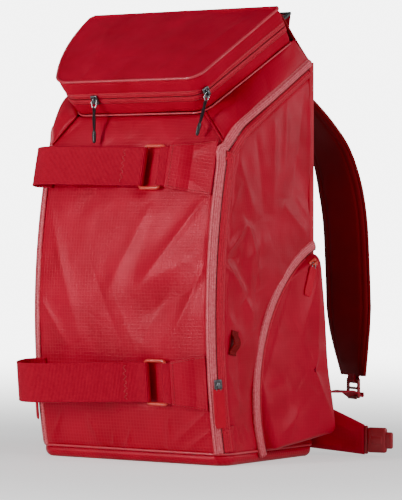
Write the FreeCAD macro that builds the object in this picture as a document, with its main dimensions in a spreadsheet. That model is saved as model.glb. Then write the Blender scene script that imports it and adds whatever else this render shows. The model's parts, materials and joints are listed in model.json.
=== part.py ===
"""Ski boot bag: a front-loading backpack of coated fabric, built as an assembly of sewn panels and hardware.

Frame: millimetres, origin on the floor under the middle of the body, +X to the bag's right seen from the
front, +Y from the front panel to the wearer's back, +Z up.  Each exported object is one sewn or moulded
piece.  The shell is one hollow form cut along its seams, so neighbouring panels meet edge to edge.
"""

import FreeCAD
import Part
import math
import os
import Sketcher

V = FreeCAD.Vector
doc = FreeCAD.newDocument("ski_boot_bag")
sheet = doc.addObject("Spreadsheet::Sheet", "Sizes")

SIZES = {
    # body profile, seen from the side
    "arc_radius": 763, "arc_y": 651, "arc_z": 183, "back_y": 100, "foot": 10,
    "shoulder_front_z": 402, "shoulder_back_z": 500,
    "neck_front_y": -71, "neck_front_z": 434, "neck_back_y": 65.3, "neck_back_z": 532.3,
    "brow_y": -102, "brow_z": 475, "peak_y": 27, "peak_z": 568,
    # half widths
    "front_half": 130, "side_front": 144, "side_back": 150,
    "neck_front_half": 98.5, "neck_back_half": 146, "brow_half": 107, "peak_half": 146,
    # fabric
    "wall": 2.5, "tape": 1.2, "skin_gap": 0.1, "seam": 0.4, "band": 7, "tape_lap": 5, "chain_gap": 0.8,
    "skirt": 25, "collar": 50.5, "base_height": 14.5, "shoulder_flare": 0.6, "zip_start": 2,
    # doors and pockets
    "door_low_z": 40, "pocket_radius": 190, "pocket_y": 166, "pocket_z": 85, "pocket_top_y": 98,
    "pocket_top_z": 262.4, "pocket_toe_y": -10.5, "pocket_toe_z": 14, "pocket_heel_z": 30,
    "pocket_x": 166.3, "pocket_wall": 2, "pocket_seam": 1.2, "tape_width": 8,
    # lash straps on the front
    "web_width": 50, "web": 1.8, "upper_z": 364, "lower_z": 103, "upper_ring_x": 51, "lower_ring_x": 70,
    "ring_width": 33, "ring_height": 58, "ring_bar": 4, "ring_rise": 7, "upper_slack": 20, "lower_slack": 44,
    "strap_seam_x": -118, "strap_bow": 12, "strap_tail": 36, "loop_leg": 22, "tab_gap": 13, "tab_edge_x": 124,
    "tab_narrow": 26.5, "tab_wide": 35, "tab_thick": 1.2, "lash_y": -75, "lash_z": 151, "lash_half": 14,
    "lash_web": 22, "lash_bow": 12,
    # sliders and pulls
    "slider_width": 10, "slider_length": 13, "slider_plate": 1.6, "bridge": 5, "slider_z": 100,
    "pull_width": 15, "pull_length": 55, "pull_thick": 1.6, "pull_slot": 8, "pull_eye": 7.4,
    "link_width": 11.6, "link_length": 11, "link_thick": 1.1, "link_slot": 9.2, "cord": 3.2,
    "cord_length": 39, "cord_end": 16, "front_slider_x": -56,
    "pocket_slider_y": 82.5, "pocket_slider_z": 246.2,
    "arch_leg": 1, "arch_rise": 3, "arch_top": 1.2, "arch_width": 3,
    # back system
    "board": 2, "pad_thick": 11, "pad_width": 62, "pad_height": 330, "pad_x": 62,
    "strap_x": 58, "strap_y": 121, "strap_top_z": 500, "strap_width": 62, "strap_thick": 12,
    "strap_bend": 119, "strap_bend_z": 392, "strap_reach": 146, "strap_turn_z": 233, "strap_low_z": 98,
    "lock_width": 30, "lock_length": 26, "lock_thick": 4, "narrow_web": 20,
    "adjuster_x": 132, "adjuster_z": 94, "adjuster_sag": 40, "handle_width": 116, "handle_height": 38,
    "handle_thick": 4, "handle_slot": 88, "handle_gap": 16, "handle_drop": 36, "handle_lift": 4.5,
    "lifter_x": 107, "lifter_drop": 42, "lifter_tab": 25, "lifter_tab_length": 18.5,
    "base_sheet_depth": 160, "base_sheet_margin": 8, "back_sheet_height": 440, "back_sheet_z": 20,
    # hip belt
    "wing_x": 122, "wing_y": 107, "wing_length": 92, "wing_height": 66, "wing_thick": 5, "belt_web": 38,
    "wing_low": 3, "buckle_length": 38, "buckle_body": 30, "buckle_thick": 9, "buckle_nose": 8,
    "buckle_slot": 6,
}
for row, (alias, value) in enumerate(SIZES.items(), 1):
    sheet.set(f"A{row}", alias)
    sheet.set(f"B{row}", str(value))
    sheet.setAlias(f"B{row}", alias)
doc.recompute()


class Dim:
    """A number from the sheet together with the expression that gives it, so sums stay parametric."""

    def __init__(self, value, text):
        self.value, self.text = float(value), text

    def _join(self, other, sign, value, swap=False):
        text = other.text if isinstance(other, Dim) else repr(other)
        left, right = (text, self.text) if swap else (self.text, text)
        return Dim(value, f"({left} {sign} {right})")

    def __add__(self, other):
        return self._join(other, "+", self.value + number(other))

    def __radd__(self, other):
        return self._join(other, "+", self.value + number(other), True)

    def __sub__(self, other):
        return self._join(other, "-", self.value - number(other))

    def __rsub__(self, other):
        return self._join(other, "-", number(other) - self.value, True)

    def __mul__(self, other):
        return self._join(other, "*", self.value * number(other))

    def __rmul__(self, other):
        return self._join(other, "*", self.value * number(other), True)

    def __truediv__(self, other):
        return self._join(other, "/", self.value / number(other))

    def __neg__(self):
        return Dim(-self.value, f"(0 - {self.text})")


def number(x):
    return x.value if isinstance(x, Dim) else float(x)


def root(x):
    return Dim(math.sqrt(x.value), f"sqrt({x.text})")


def size(alias):
    return Dim(SIZES[alias], f"Sizes.{alias}")


def unit(x, y, z):
    """The direction of x, y, z, one millimetre long."""
    return V(x, y, z).normalize()


S = {alias: size(alias) for alias in SIZES}
NODES = []


def bind(obj, prop, value):
    """Sets a property from a Dim by expression, or from a plain number directly."""
    if isinstance(value, Dim):
        obj.setExpression(prop, value.text)
    else:
        setattr(obj, prop, value)


# ---------------------------------------------------------------- drawing helpers

PLANES = {
    "XY": FreeCAD.Rotation(),
    "XZ": FreeCAD.Rotation(V(1, 0, 0), V(0, 0, 1), V(0, -1, 0), "ZXY"),
    "YZ": FreeCAD.Rotation(V(0, 1, 0), V(0, 0, 1), V(1, 0, 0), "ZXY"),
}


def arc_between(a, b, radius):
    """Arc of a circle from a to b. A positive radius bulges to the right of the way from a to b."""
    chord = b - a
    half = chord.Length / 2
    rise = math.sqrt(max(radius * radius - half * half, 0.0))
    side = V(-chord.y, chord.x, 0).normalize() * (1 if radius > 0 else -1)
    centre = (a + b) * 0.5 + side * rise
    circle = Part.Circle(centre, V(0, 0, 1), abs(radius))
    start, end = circle.parameter(a), circle.parameter(b)
    forward = radius > 0
    return Part.ArcOfCircle(circle, start, end) if forward else Part.ArcOfCircle(circle, end, start), forward


def draw(sketch, points, arcs=None, closed=True):
    """Adds an outline through points to a sketch, each corner held by bound distances from the origin.

    arcs maps a segment's number to its signed radius; all other segments are straight."""
    arcs = arcs or {}
    flat = [V(number(x), number(y), 0) for x, y in points]
    count = len(points) if closed else len(points) - 1
    ends = []
    for i in range(count):
        a, b = flat[i], flat[(i + 1) % len(flat)]
        if i in arcs:
            shape, forward = arc_between(a, b, number(arcs[i]))
            geo = sketch.addGeometry(shape)
            ends.append((geo, 1 if forward else 2, 2 if forward else 1))
            at = sketch.addConstraint(Sketcher.Constraint("Radius", geo, abs(number(arcs[i]))))
            if isinstance(arcs[i], Dim):
                sign = "" if arcs[i].value > 0 else "0 - "
                sketch.setExpression(f"Constraints[{at}]", f"{sign}{arcs[i].text}")
        else:
            geo = sketch.addGeometry(Part.LineSegment(a, b))
            ends.append((geo, 1, 2))
    for i in range(count if closed else count - 1):
        one, two = ends[i], ends[(i + 1) % count]
        sketch.addConstraint(Sketcher.Constraint("Coincident", one[0], one[2], two[0], two[1]))
    for i, (x, y) in enumerate(points):
        geo, end = (ends[i][0], ends[i][1]) if i < count else (ends[-1][0], ends[-1][2])
        for kind, value in (("DistanceX", x), ("DistanceY", y)):
            at = sketch.addConstraint(Sketcher.Constraint(kind, geo, end, number(value)))
            if isinstance(value, Dim):
                sketch.setExpression(f"Constraints[{at}]", value.text)
    return sketch


def sketch_on(name, plane, points, arcs=None, closed=True, placement=None):
    sketch = doc.addObject("Sketcher::SketchObject", name)
    sketch.Placement = placement or FreeCAD.Placement(V(), PLANES[plane])
    return draw(sketch, points, arcs, closed)


def extrude(name, profile, direction, ahead, behind=0.0):
    part = doc.addObject("Part::Extrusion", name)
    part.Base, part.DirMode, part.Dir, part.Solid = profile, "Custom", V(*direction), True
    bind(part, "LengthFwd", ahead)
    bind(part, "LengthRev", behind)
    return part


def grow(name, profile, value):
    """The profile's outline moved outwards by value, or inwards when it is negative."""
    part = doc.addObject("Part::Offset2D", name)
    part.Source = profile
    part.Join = "Intersection"
    bind(part, "Value", value)
    return part


def ribbon(name, path, width):
    """A face of the given width centred on an open path."""
    part = doc.addObject("Part::Offset2D", name)
    part.Source, part.Fill = path, True
    bind(part, "Value", width / 2)
    return part


def boolean(kind, name, base, tool):
    part = doc.addObject(f"Part::{kind}", name)
    part.Base, part.Tool = base, tool
    return part


def common(name, base, tool):
    return boolean("Common", name, base, tool)


def cut(name, base, tool):
    return boolean("Cut", name, base, tool)


def fuse(name, *parts):
    part = doc.addObject("Part::MultiFuse", name)
    part.Shapes = list(parts)
    return part


def group(name, *parts):
    part = doc.addObject("Part::Compound", name)
    part.Links = list(parts)
    return part


def node(label, part):
    """Marks a finished piece for export under its own name."""
    part.Label = label
    NODES.append(part)
    return part


def mirrored(name, source):
    part = doc.addObject("Part::Mirroring", name)
    part.Source, part.Normal = source, V(1, 0, 0)
    return part


def both_sides(stem, part):
    """Exports a right-hand piece and its left-hand mirror image."""
    node(f"right_{stem}", part)
    node(f"left_{stem}", mirrored(f"left_{stem}_mirror", part))


def slab(name, base, x_axis, y_axis, lengths, corner=(0, 0, 0)):
    """A box whose length and width run along two given directions, from a base point."""
    box = doc.addObject("Part::Box", name)
    for prop, value in zip(("Length", "Width", "Height"), lengths):
        bind(box, prop, value)
    turn = FreeCAD.Rotation(V(*x_axis), V(*y_axis), V(), "XYZ")
    box.Placement = FreeCAD.Placement(V(*base) + turn.multVec(V(*corner)), turn)
    return box


class Moulding:
    """A PartDesign body: a pad of one outline, with pockets and rounded edges added to it."""

    def __init__(self, name, outline, thickness, arcs=None, centred=True):
        self.body = doc.addObject("PartDesign::Body", name)
        self.arcs = arcs
        pad_sketch = self._sketch(outline, arcs)
        self.pad = self.body.newObject("PartDesign::Pad", f"{name}_pad")
        self.pad.Profile = pad_sketch
        self.pad.Midplane = centred
        bind(self.pad, "Length", thickness)
        doc.recompute()

    def _sketch(self, outline, arcs=None):
        plane = next(f for f in self.body.Origin.OriginFeatures if f.Role == "XY_Plane")
        sketch = self.body.newObject("Sketcher::SketchObject", f"{self.body.Name}_sketch")
        sketch.AttachmentSupport, sketch.MapMode = [(plane, "")], "FlatFace"
        return draw(sketch, outline, arcs)

    def window(self, *outlines):
        for outline in outlines:
            before = self.body.Shape.Volume
            pocket = self.body.newObject("PartDesign::Pocket", f"{self.body.Name}_window")
            pocket.Profile = self._sketch(outline)
            pocket.Type, pocket.Midplane = "ThroughAll", True
            doc.recompute()
            if not self.body.Shape.Volume < before - 1e-3:
                raise RuntimeError(f"{self.body.Name}: a window cuts nothing")
        return self

    def rounded(self, radius, keep=lambda edge: True):
        tip = self.body.Tip
        names = [f"Edge{i}" for i, edge in enumerate(tip.Shape.Edges, 1) if keep(edge)]
        fillet = self.body.newObject("PartDesign::Fillet", f"{self.body.Name}_round")
        fillet.Base = (tip, names)
        bind(fillet, "Radius", radius)
        doc.recompute()
        return self

    def placed(self, base, x_axis, y_axis):
        turn = FreeCAD.Rotation(V(*x_axis), V(*y_axis), V(), "XYZ")
        self.body.Placement = FreeCAD.Placement(V(*base), turn)
        return self.body


def rectangle(width, height, x=0.0, y=0.0):
    """Outline of a rectangle of bound size centred on x, y."""
    w, h = width / 2, height / 2
    return [(x - w, y - h), (x + w, y - h), (x + w, y + h), (x - w, y + h)]


# ---------------------------------------------------------------- the body's form

OVERRUN = 30      # how far a cutting form runs past the seam that trims it
SIDE = 200.0      # half width of every form that spans the whole bag
SLOPE_Y = 98      # distance in front of the origin at which the side has its front half width
PLAN_FRONT = 130  # how far forward the plan runs, past the bulging front


def front_at(z, inset=0.0):
    """Y of the bulging front at height z, inset towards the inside by a number or Dim."""
    radius = S["arc_radius"] - inset
    rise = z - S["arc_z"]
    return S["arc_y"] - root(radius * radius - rise * rise)


def side_profile():
    """The body from the side, run on a little above the shoulder seam, where the hood takes over."""
    foot = S["foot"]
    low = front_at(foot)
    past = S["shoulder_front_z"] + OVERRUN
    points = [
        (low, foot),
        (low + foot, 0.0),
        (S["back_y"] - foot, 0.0),
        (S["back_y"], foot),
        (S["back_y"], S["shoulder_back_z"] + OVERRUN),
        (front_at(past), past),
    ]
    return sketch_on("side_profile", "YZ", points, {5: S["arc_radius"]})


def shoulder_line(y, lift=0.0):
    """Height of the sloping shoulder seam at y, raised by lift."""
    front_y, front_z = front_at(S["shoulder_front_z"]), S["shoulder_front_z"]
    slope = (S["shoulder_back_z"] - front_z) / (S["back_y"] - front_y)
    return front_z + slope * (y - front_y) + lift


def below_shoulder():
    """The space under the sloping shoulder seam."""
    low = -60.0
    points = [(-SIDE, low), (SIDE, low), (SIDE, shoulder_line(SIDE)), (-SIDE, shoulder_line(-SIDE))]
    outline = sketch_on("below_shoulder_outline", "YZ", points)
    return extrude("below_shoulder", outline, (1, 0, 0), SIDE + OVERRUN, SIDE + OVERRUN)


def plan_outline():
    """The body from above, a little wider at the back than at the front."""
    flare = (S["side_back"] - S["side_front"]) / (S["back_y"] + SLOPE_Y)
    front = S["side_front"] - flare * (PLAN_FRONT - SLOPE_Y)
    back = S["side_back"]
    points = [(-front, -PLAN_FRONT), (front, -PLAN_FRONT), (back, S["back_y"]), (-back, S["back_y"])]
    return sketch_on("plan_outline", "XY", points)


def tilted_section(name, front_y, front_z, back_y, back_z, front_half, back_half, inset, drop):
    """A trapezoid across the bag in the plane through a front edge and a back edge."""
    run, rise = back_y - front_y, back_z - front_z
    length = root(run * run + rise * rise)
    slope = math.atan2(rise.value, run.value)
    down = V(0, math.sin(slope), -math.cos(slope)) * number(drop)
    turn = FreeCAD.Rotation(V(1, 0, 0), math.degrees(slope))
    place = FreeCAD.Placement(V(0, front_y.value, front_z.value) + down, turn)
    front, back = front_half - inset, back_half - inset
    points = [(-front, inset), (front, inset), (back, length - inset), (-back, length - inset)]
    return sketch_on(name, "XY", points, placement=place)


def envelope(tag, inset):
    """The closed form of the whole bag, inset by a Dim; a negative inset stands outside the fabric."""
    side_face, plan_face = side_profile_sketch, plan_sketch
    if inset.value:
        side_face = grow(f"{tag}_side_outline", side_profile_sketch, -inset)
        plan_face = grow(f"{tag}_plan_outline", plan_sketch, -inset)
    side = extrude(f"{tag}_side", side_face, (1, 0, 0), SIDE, SIDE)
    plan = extrude(f"{tag}_plan", plan_face, (0, 0, 1), 700.0, 20.0)
    lower = common(f"{tag}_lower", common(f"{tag}_trunk", side, plan), under_hood)
    shoulder = tilted_section(
        f"{tag}_shoulder", front_at(S["shoulder_front_z"]), S["shoulder_front_z"], S["back_y"],
        S["shoulder_back_z"], S["side_front"] + S["shoulder_flare"], S["side_back"], inset, 0.0)
    neck = tilted_section(
        f"{tag}_neck", S["neck_front_y"], S["neck_front_z"], S["neck_back_y"], S["neck_back_z"],
        S["neck_front_half"], S["neck_back_half"], inset, 0.0)
    brow = tilted_section(
        f"{tag}_brow", S["brow_y"], S["brow_z"], S["peak_y"], S["peak_z"], S["brow_half"], S["peak_half"],
        inset, inset)
    hood = doc.addObject("Part::Loft", f"{tag}_hood")
    hood.Sections, hood.Solid, hood.Ruled = [shoulder, neck, brow], True, True
    whole = fuse(f"{tag}_whole", lower, hood)
    near, far, swing = 135.0, 180.0, 40.0
    for side_name, sign in (("right", 1), ("left", -1)):
        line = S["front_half"] - (S["arc_y"] - S["arc_radius"]) - inset * math.sqrt(2)
        corner = [(sign * (line - near), -near), (sign * far, -near), (sign * far, far - line)]
        place = FreeCAD.Placement(V(0, 0, SIZES["arc_z"]), FreeCAD.Rotation())
        wedge = sketch_on(f"{tag}_{side_name}_corner", "XY", corner, placement=place)
        turn = doc.addObject("Part::Revolution", f"{tag}_{side_name}_bevel")
        turn.Source, turn.Axis, turn.Solid = wedge, V(1, 0, 0), True
        turn.Base = V(0, SIZES["arc_y"], SIZES["arc_z"])
        turn.Angle = swing
        turn.Symmetric = True
        whole = cut(f"{tag}_{side_name}_bevelled", whole, turn)
    return whole


side_profile_sketch = side_profile()
plan_sketch = plan_outline()
under_hood = below_shoulder()
outer = envelope("outer", S["wall"] * 0)
inner = envelope("inner", S["wall"])
clear = envelope("clear", -S["skin_gap"])
skin = envelope("skin", -(S["skin_gap"] + S["tape"]))
shell = cut("shell", outer, inner)
overlay = cut("overlay", skin, clear)

# ---------------------------------------------------------------- panels, cut from the shell along the seams

LID_SLOPE = math.atan2(SIZES["peak_z"] - SIZES["brow_z"], SIZES["peak_y"] - SIZES["brow_y"])
FORWARD = V(0, -math.cos(LID_SLOPE), -math.sin(LID_SLOPE))
INWARD = V(0, math.sin(LID_SLOPE), -math.cos(LID_SLOPE))
LID_FRAME = FreeCAD.Placement(
    V(0, SIZES["peak_y"], SIZES["peak_z"]), FreeCAD.Rotation(FORWARD, INWARD, V(1, 0, 0), "XYZ"))
FAR = 240.0
BAND_RISE = 1.14  # height of one millimetre across a band that follows the shoulder seam


def lid_layer(name, high, low, behind=0.0, ahead=FAR):
    """The space between two depths under the lid's face, from the hinge line forwards."""
    points = [(behind, high), (ahead, high), (ahead, low), (behind, low)]
    layer = sketch_on(name, "YZ", points, placement=LID_FRAME)
    return extrude(f"{name}_space", layer, (1, 0, 0), SIDE, SIDE)


def side_space(name, points, arcs=None, low=125.0, high=170.0):
    """The space beside the bag over an outline drawn on the side view, on the right."""
    outline = sketch_on(name, "YZ", points, arcs)
    return extrude(f"{name}_space", outline, (1, 0, 0), high, -low)


def panels():
    """The shell cut along its seams into front, base, back, lid, collar, yokes, doors and sides."""
    low, edge = S["base_height"] + S["seam"] / 2, S["front_half"] - S["seam"]
    top, neck, corner = S["neck_front_z"] - S["seam"], S["neck_front_half"], S["shoulder_front_z"] - 5
    face = [(-edge, low), (edge, low), (edge, corner), (neck, top), (-neck, top), (-edge, corner)]
    behind_front, before_front = -45.0, 145.0
    front_outline = sketch_on("front_outline", "XZ", face)
    front = extrude("front_space", front_outline, (0, 1, 0), behind_front, before_front)
    node("front_panel", common("front_panel_cut", shell, front))

    under = -5.0
    tray = [(-SIDE, under), (SIDE, under), (SIDE, low - S["seam"]), (-SIDE, low - S["seam"])]
    tray_space = extrude("base_space", sketch_on("base_outline", "XZ", tray), (0, 1, 0), SIDE, SIDE)
    node("base_panel", common("base_panel_cut", shell, tray_space))

    deep = S["wall"] + 0.3
    inside = S["back_y"] - deep
    back = [(inside, low), (S["back_y"] + 5, low), (S["back_y"] + 5, S["shoulder_back_z"] + 1),
            (S["peak_y"] + 6, S["peak_z"] + 4), (S["peak_y"] + 0.4, S["peak_z"] + 0.4),
            (S["peak_y"] - 2.2, S["peak_z"] - 3.6), (inside, S["shoulder_back_z"] - 2.0)]
    back_space = extrude("back_space", sketch_on("back_outline", "YZ", back), (1, 0, 0), SIDE, SIDE)
    node("back_panel", common("back_panel_cut", shell, back_space))

    node("lid", cut("lid_trim", common("lid_cut", shell, lid_layer(
        "lid_layer", -2.0, S["skirt"] - S["seam"], 0.6)), back_space))
    node("collar", cut("collar_trim", common("collar_cut", shell, lid_layer(
        "collar_layer", S["skirt"] + S["seam"], S["collar"], -45.0)), back_space))

    rise = S["band"] * BAND_RISE
    before, behind, inner_x = -125.0, 99.0, 95.0
    yoke = [(before, shoulder_line(before, rise)), (behind, shoulder_line(behind, rise)),
            (S["neck_back_y"] + 3, S["neck_back_z"]), (before, S["neck_front_z"] - 39.5)]
    yoke_space = side_space("yoke_outline", yoke, low=inner_x)
    yoke_piece = cut("yoke_cut", common("yoke_piece", shell, yoke_space), front)
    both_sides("yoke", cut("yoke_trim", yoke_piece, back_space))

    inset = S["band"] * 2 + 0.5
    high_z = S["shoulder_front_z"] - 1.5
    rear = inside - S["seam"]
    start, top_y = (front_at(S["door_low_z"], inset), S["door_low_z"]), front_at(high_z, inset)
    end = (rear, shoulder_line(rear, -rise))
    door = [start, end, (top_y, high_z)]
    door_space = side_space("door_outline", door, {2: S["arc_radius"] - inset})
    both_sides("door", common("door_cut", shell, door_space))
    fixed = [(front_at(low, inset), low), (rear, low), (rear, end[1] - 1.6), (start[0], start[1] - 1.0)]
    both_sides("side_panel", common("side_panel_cut", shell, side_space(
        "side_outline", fixed, {3: S["arc_radius"] - inset})))


def zip_band(name, near, far, low_z, back_y):
    """Side view of a ribbon beside the door zip: up the bulging corner, then back along the shoulder.

    near and far are its distances from the zip's centre line, positive towards the front and top."""
    middle = S["band"]
    turn_z = S["shoulder_front_z"] - 1
    front_far, front_near = middle - far, middle - near
    turn_far, turn_near = front_at(turn_z, front_far), front_at(turn_z, front_near)
    lift_far, lift_near = far * BAND_RISE, near * BAND_RISE
    return [(front_at(low_z, front_far), low_z), (front_at(low_z, front_near), low_z),
            (turn_near, shoulder_line(turn_near, lift_near)), (back_y, shoulder_line(back_y, lift_near)),
            (back_y, shoulder_line(back_y, lift_far)), (turn_far, shoulder_line(turn_far, lift_far))]


ZIP_INNER_X = 124.0


def zips():
    """Each zip is two tapes, one sewn to each of the two panels it joins."""
    gap, wide = S["chain_gap"], S["band"] + S["tape_lap"]
    inner_arc, outer_arc = S["arc_radius"] - S["band"] + gap, S["arc_radius"] - S["band"] + wide
    points = zip_band("door_zip_front", gap, wide, S["base_height"] + S["zip_start"], 94.0)
    arcs = {1: -inner_arc, 5: outer_arc}
    both_sides("door_zip_front_tape", common("door_zip_front_cut", overlay, side_space(
        "door_zip_front", points, arcs, ZIP_INNER_X)))
    points = zip_band("door_zip_rear", -wide, -gap, S["door_low_z"] + 9, 84.0)
    arcs = {1: -(S["arc_radius"] - S["band"] - wide), 5: S["arc_radius"] - S["band"] - gap}
    both_sides("door_zip_rear_tape", common("door_zip_rear_cut", overlay, side_space(
        "door_zip_rear", points, arcs, ZIP_INNER_X)))
    node("lid_zip_upper_tape", common("lid_zip_upper_cut", overlay, lid_layer(
        "lid_zip_upper", S["skirt"] - S["tape_width"], S["skirt"] - gap, 4.0)))
    node("lid_zip_lower_tape", common("lid_zip_lower_cut", overlay, lid_layer(
        "lid_zip_lower", S["skirt"] + gap, S["skirt"] + S["tape_width"], -6.0)))


POCKET_LEAN, POCKET_FALL = 0.25, 0.1094  # how the pocket's face widens towards the back and the bottom
POCKET_OUT = unit(1, -POCKET_LEAN, POCKET_FALL)


def pocket_halfspace(name, lift):
    """Everything on the bag's side of the pocket's sloping face, raised by lift."""
    deep, wide = 200.0, 800.0
    base = V(SIZES["pocket_x"], 0, 0) + POCKET_OUT * (lift - deep)
    along = unit(POCKET_LEAN, 1, 0)
    across = POCKET_OUT.cross(along)
    start = base - (along + across) * (wide / 2)
    return slab(name, start, along, across, (wide, wide, deep))


def pocket_face(y, z):
    """The point of the pocket's sloping face that lies beside y, z."""
    return V(SIZES["pocket_x"] + POCKET_LEAN * y - POCKET_FALL * z, y, z)


def pockets():
    """A wedge-shaped cargo pocket on each side, whose front half folds open along a straight crease."""
    top, toe = (S["pocket_top_y"], S["pocket_top_z"]), (S["pocket_toe_y"], S["pocket_toe_z"])
    outline = sketch_on("pocket_outline", "YZ", [top, toe, (S["pocket_top_y"], S["pocket_heel_z"])],
                        {0: S["pocket_radius"]})
    solid = extrude("pocket_solid", outline, (1, 0, 0), SIDE, -120.0)
    hollow_outline = grow("pocket_hollow_outline", outline, -S["pocket_wall"])
    hollow = extrude("pocket_hollow", hollow_outline, (1, 0, 0), SIDE, -110.0)
    face = pocket_halfspace("pocket_outside", 0.0)
    under = pocket_halfspace("pocket_inside", -SIZES["pocket_wall"])
    skinned = cut("pocket_clear", common("pocket_block", solid, face), skin)
    wall = cut("pocket_shell", skinned, common("pocket_cavity", hollow, under))
    apart, before, behind, wide = S["pocket_seam"], -60.0, 130.0, 210.0
    front = [(top[0] - apart, top[1] + 4), (toe[0] - apart, toe[1] - 8), (before, toe[1] - 8),
             (before, top[1] + 4)]
    flap_space = side_space("pocket_flap_outline", front, high=wide)
    rear = [(toe[0] + apart, toe[1] - 12), (behind, toe[1] - 12), (behind, top[1] + 8),
            (top[0] + apart, top[1] + 8)]
    rear_space = side_space("pocket_rear_outline", rear, high=wide)
    both_sides("pocket_flap", common("pocket_flap_cut", wall, flap_space))
    both_sides("pocket_panel", common("pocket_panel_cut", wall, rear_space))

    inner_r, outer_r = S["pocket_radius"] + S["chain_gap"], S["pocket_radius"] + S["tape_width"]
    centre, drop, end_y = (S["pocket_y"], S["pocket_z"]), 60, S["pocket_top_y"] - 4
    ends = []
    for radius in (outer_r, inner_r):
        back = centre[0] - end_y
        ends.append(((centre[0] - root(radius * radius - drop * drop), centre[1] - drop),
                     (end_y, centre[1] + root(radius * radius - back * back))))
    (low, high), (lift, near) = ends
    both_sides("pocket_zip_tape", common("pocket_zip_cut", overlay, side_space(
        "pocket_zip_outline", [low, lift, near, high], {1: -inner_r, 3: outer_r})))


# ---------------------------------------------------------------- webbing, rings and sliders


NEARLY = 0.1  # a fold's radius is this much over half its width, so that the arc stays short of a half circle


def webbing(name, place, across, path, arcs, width):
    """A flat band folded along a path: the path is its middle, and its width runs across."""
    line = sketch_on(f"{name}_path", "XY", path, arcs, False, place)
    half = width / 2
    return extrude(f"{name}_band", ribbon(f"{name}_fold", line, S["web"]), tuple(across), half, half)


def front_frame(z):
    """Where the bulging front is at height z: a frame with y outwards and z down the face."""
    y = front_at(z).value
    out = V(0, y - SIZES["arc_y"], z.value - SIZES["arc_z"]).normalize()
    down = V(1, 0, 0).cross(out)
    return FreeCAD.Placement(V(0, y, z.value), FreeCAD.Rotation(V(1, 0, 0), out, down, "XYZ")), out, down


def lash_strap(stem, z, bar_x, slack):
    """A wide strap across the front: sewn in the left seam, closed on the right through a wire ring."""
    place, out, down = front_frame(z)
    bar_out, turn = S["ring_rise"], S["ring_bar"] / 2 + 1.5 + S["web"] / 2
    far_bar, seam_x = bar_x - S["ring_width"] + S["ring_bar"], S["strap_seam_x"]
    path = [(seam_x, S["web"] / 2 + 0.5), (seam_x - S["strap_bow"], slack / 2), (seam_x, slack),
            (far_bar, turn + bar_out), (far_bar, bar_out - turn), (far_bar - S["strap_tail"], bar_out - turn)]
    fold = -(turn + NEARLY)
    arcs = {0: -slack * 0.7, 1: -slack * 0.7, 3: fold}
    node(f"{stem}_strap", webbing(f"{stem}_strap", place, down, path, arcs, S["web_width"]))

    leg = bar_x + S["loop_leg"]
    hold = [(leg, bar_out + turn), (bar_x, bar_out + turn), (bar_x, bar_out - turn), (leg, bar_out - turn)]
    loop = webbing(f"{stem}_loop", place, down, hold, {1: turn + NEARLY}, S["web_width"])
    left, right, half, wide = bar_x + S["tab_gap"], S["tab_edge_x"], S["tab_narrow"], S["tab_wide"]
    flat = FreeCAD.Placement(place.Base + out * 0.45, FreeCAD.Rotation(V(1, 0, 0), -down, out, "XYZ"))
    corners = [(left, -half), (right, -wide), (right, wide), (left, half)]
    tab = sketch_on(f"{stem}_tab_outline", "XY", corners, placement=flat)
    patch = extrude(f"{stem}_tab", tab, tuple(out), S["tab_thick"])
    node(f"{stem}_strap_anchor", group(f"{stem}_anchor", loop, patch))

    bar = S["ring_bar"]
    ring = Moulding(f"{stem}_ring", rectangle(S["ring_width"], S["ring_height"]), bar)
    ring.window(rectangle(S["ring_width"] - bar * 2, S["ring_height"] - bar * 2))
    ring.rounded(1.2, lambda edge: edge.Length > 8)
    centre = place.multVec(V((number(bar_x) + number(far_bar)) / 2, number(bar_out), 0))
    node(f"{stem}_ring", ring.placed(centre, (1, 0, 0), tuple(-down)))


def slider(name, at, along, out):
    """A zip slider: a plate over the teeth with a bridge that the pull's bar passes under."""
    at, along, out = V(*at), unit(*along), unit(*out)
    plate = Moulding(f"{name}_plate", rectangle(S["slider_width"], S["slider_length"]), S["slider_plate"])
    plate.rounded(0.5)
    plate.placed(at, along.cross(out), along)
    foot = S["slider_plate"] / 2 - 0.4
    reach, inner = S["bridge"] - 0.5, S["bridge"] - 0.5 - S["arch_leg"]
    under = S["slider_plate"] / 2 + S["arch_rise"]
    top = under + S["arch_top"]
    arch = [(-reach, foot), (-inner, foot), (-inner, under), (inner, under), (inner, foot), (reach, foot),
            (reach, top), (-reach, top)]
    bridge = Moulding(f"{name}_bridge", arch, S["arch_width"])
    bridge.placed(at, along, out)
    return fuse(name, plate.body, bridge.body)


BAR_RISE = SIZES["slider_plate"] / 2 + 1.5


def pull_tab(name, at, hang, out, width, length, thick, slot):
    """A pull tab with a slot near its top, whose top bar lies under a slider's bridge."""
    at, hang, out = V(*at), unit(*hang), unit(*out)
    half, bar = width / 2, 0.9
    outline = [(-half, bar), (-half, bar - length), (half, bar - length), (half, bar)]
    tab = Moulding(name, outline, thick)
    tab.window(rectangle(slot, S["pull_eye"], 0.0, -S["pull_eye"] / 2 - bar))
    side = hang.cross(out)
    return tab.placed(at + out * BAR_RISE, side, -hang)


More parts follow.
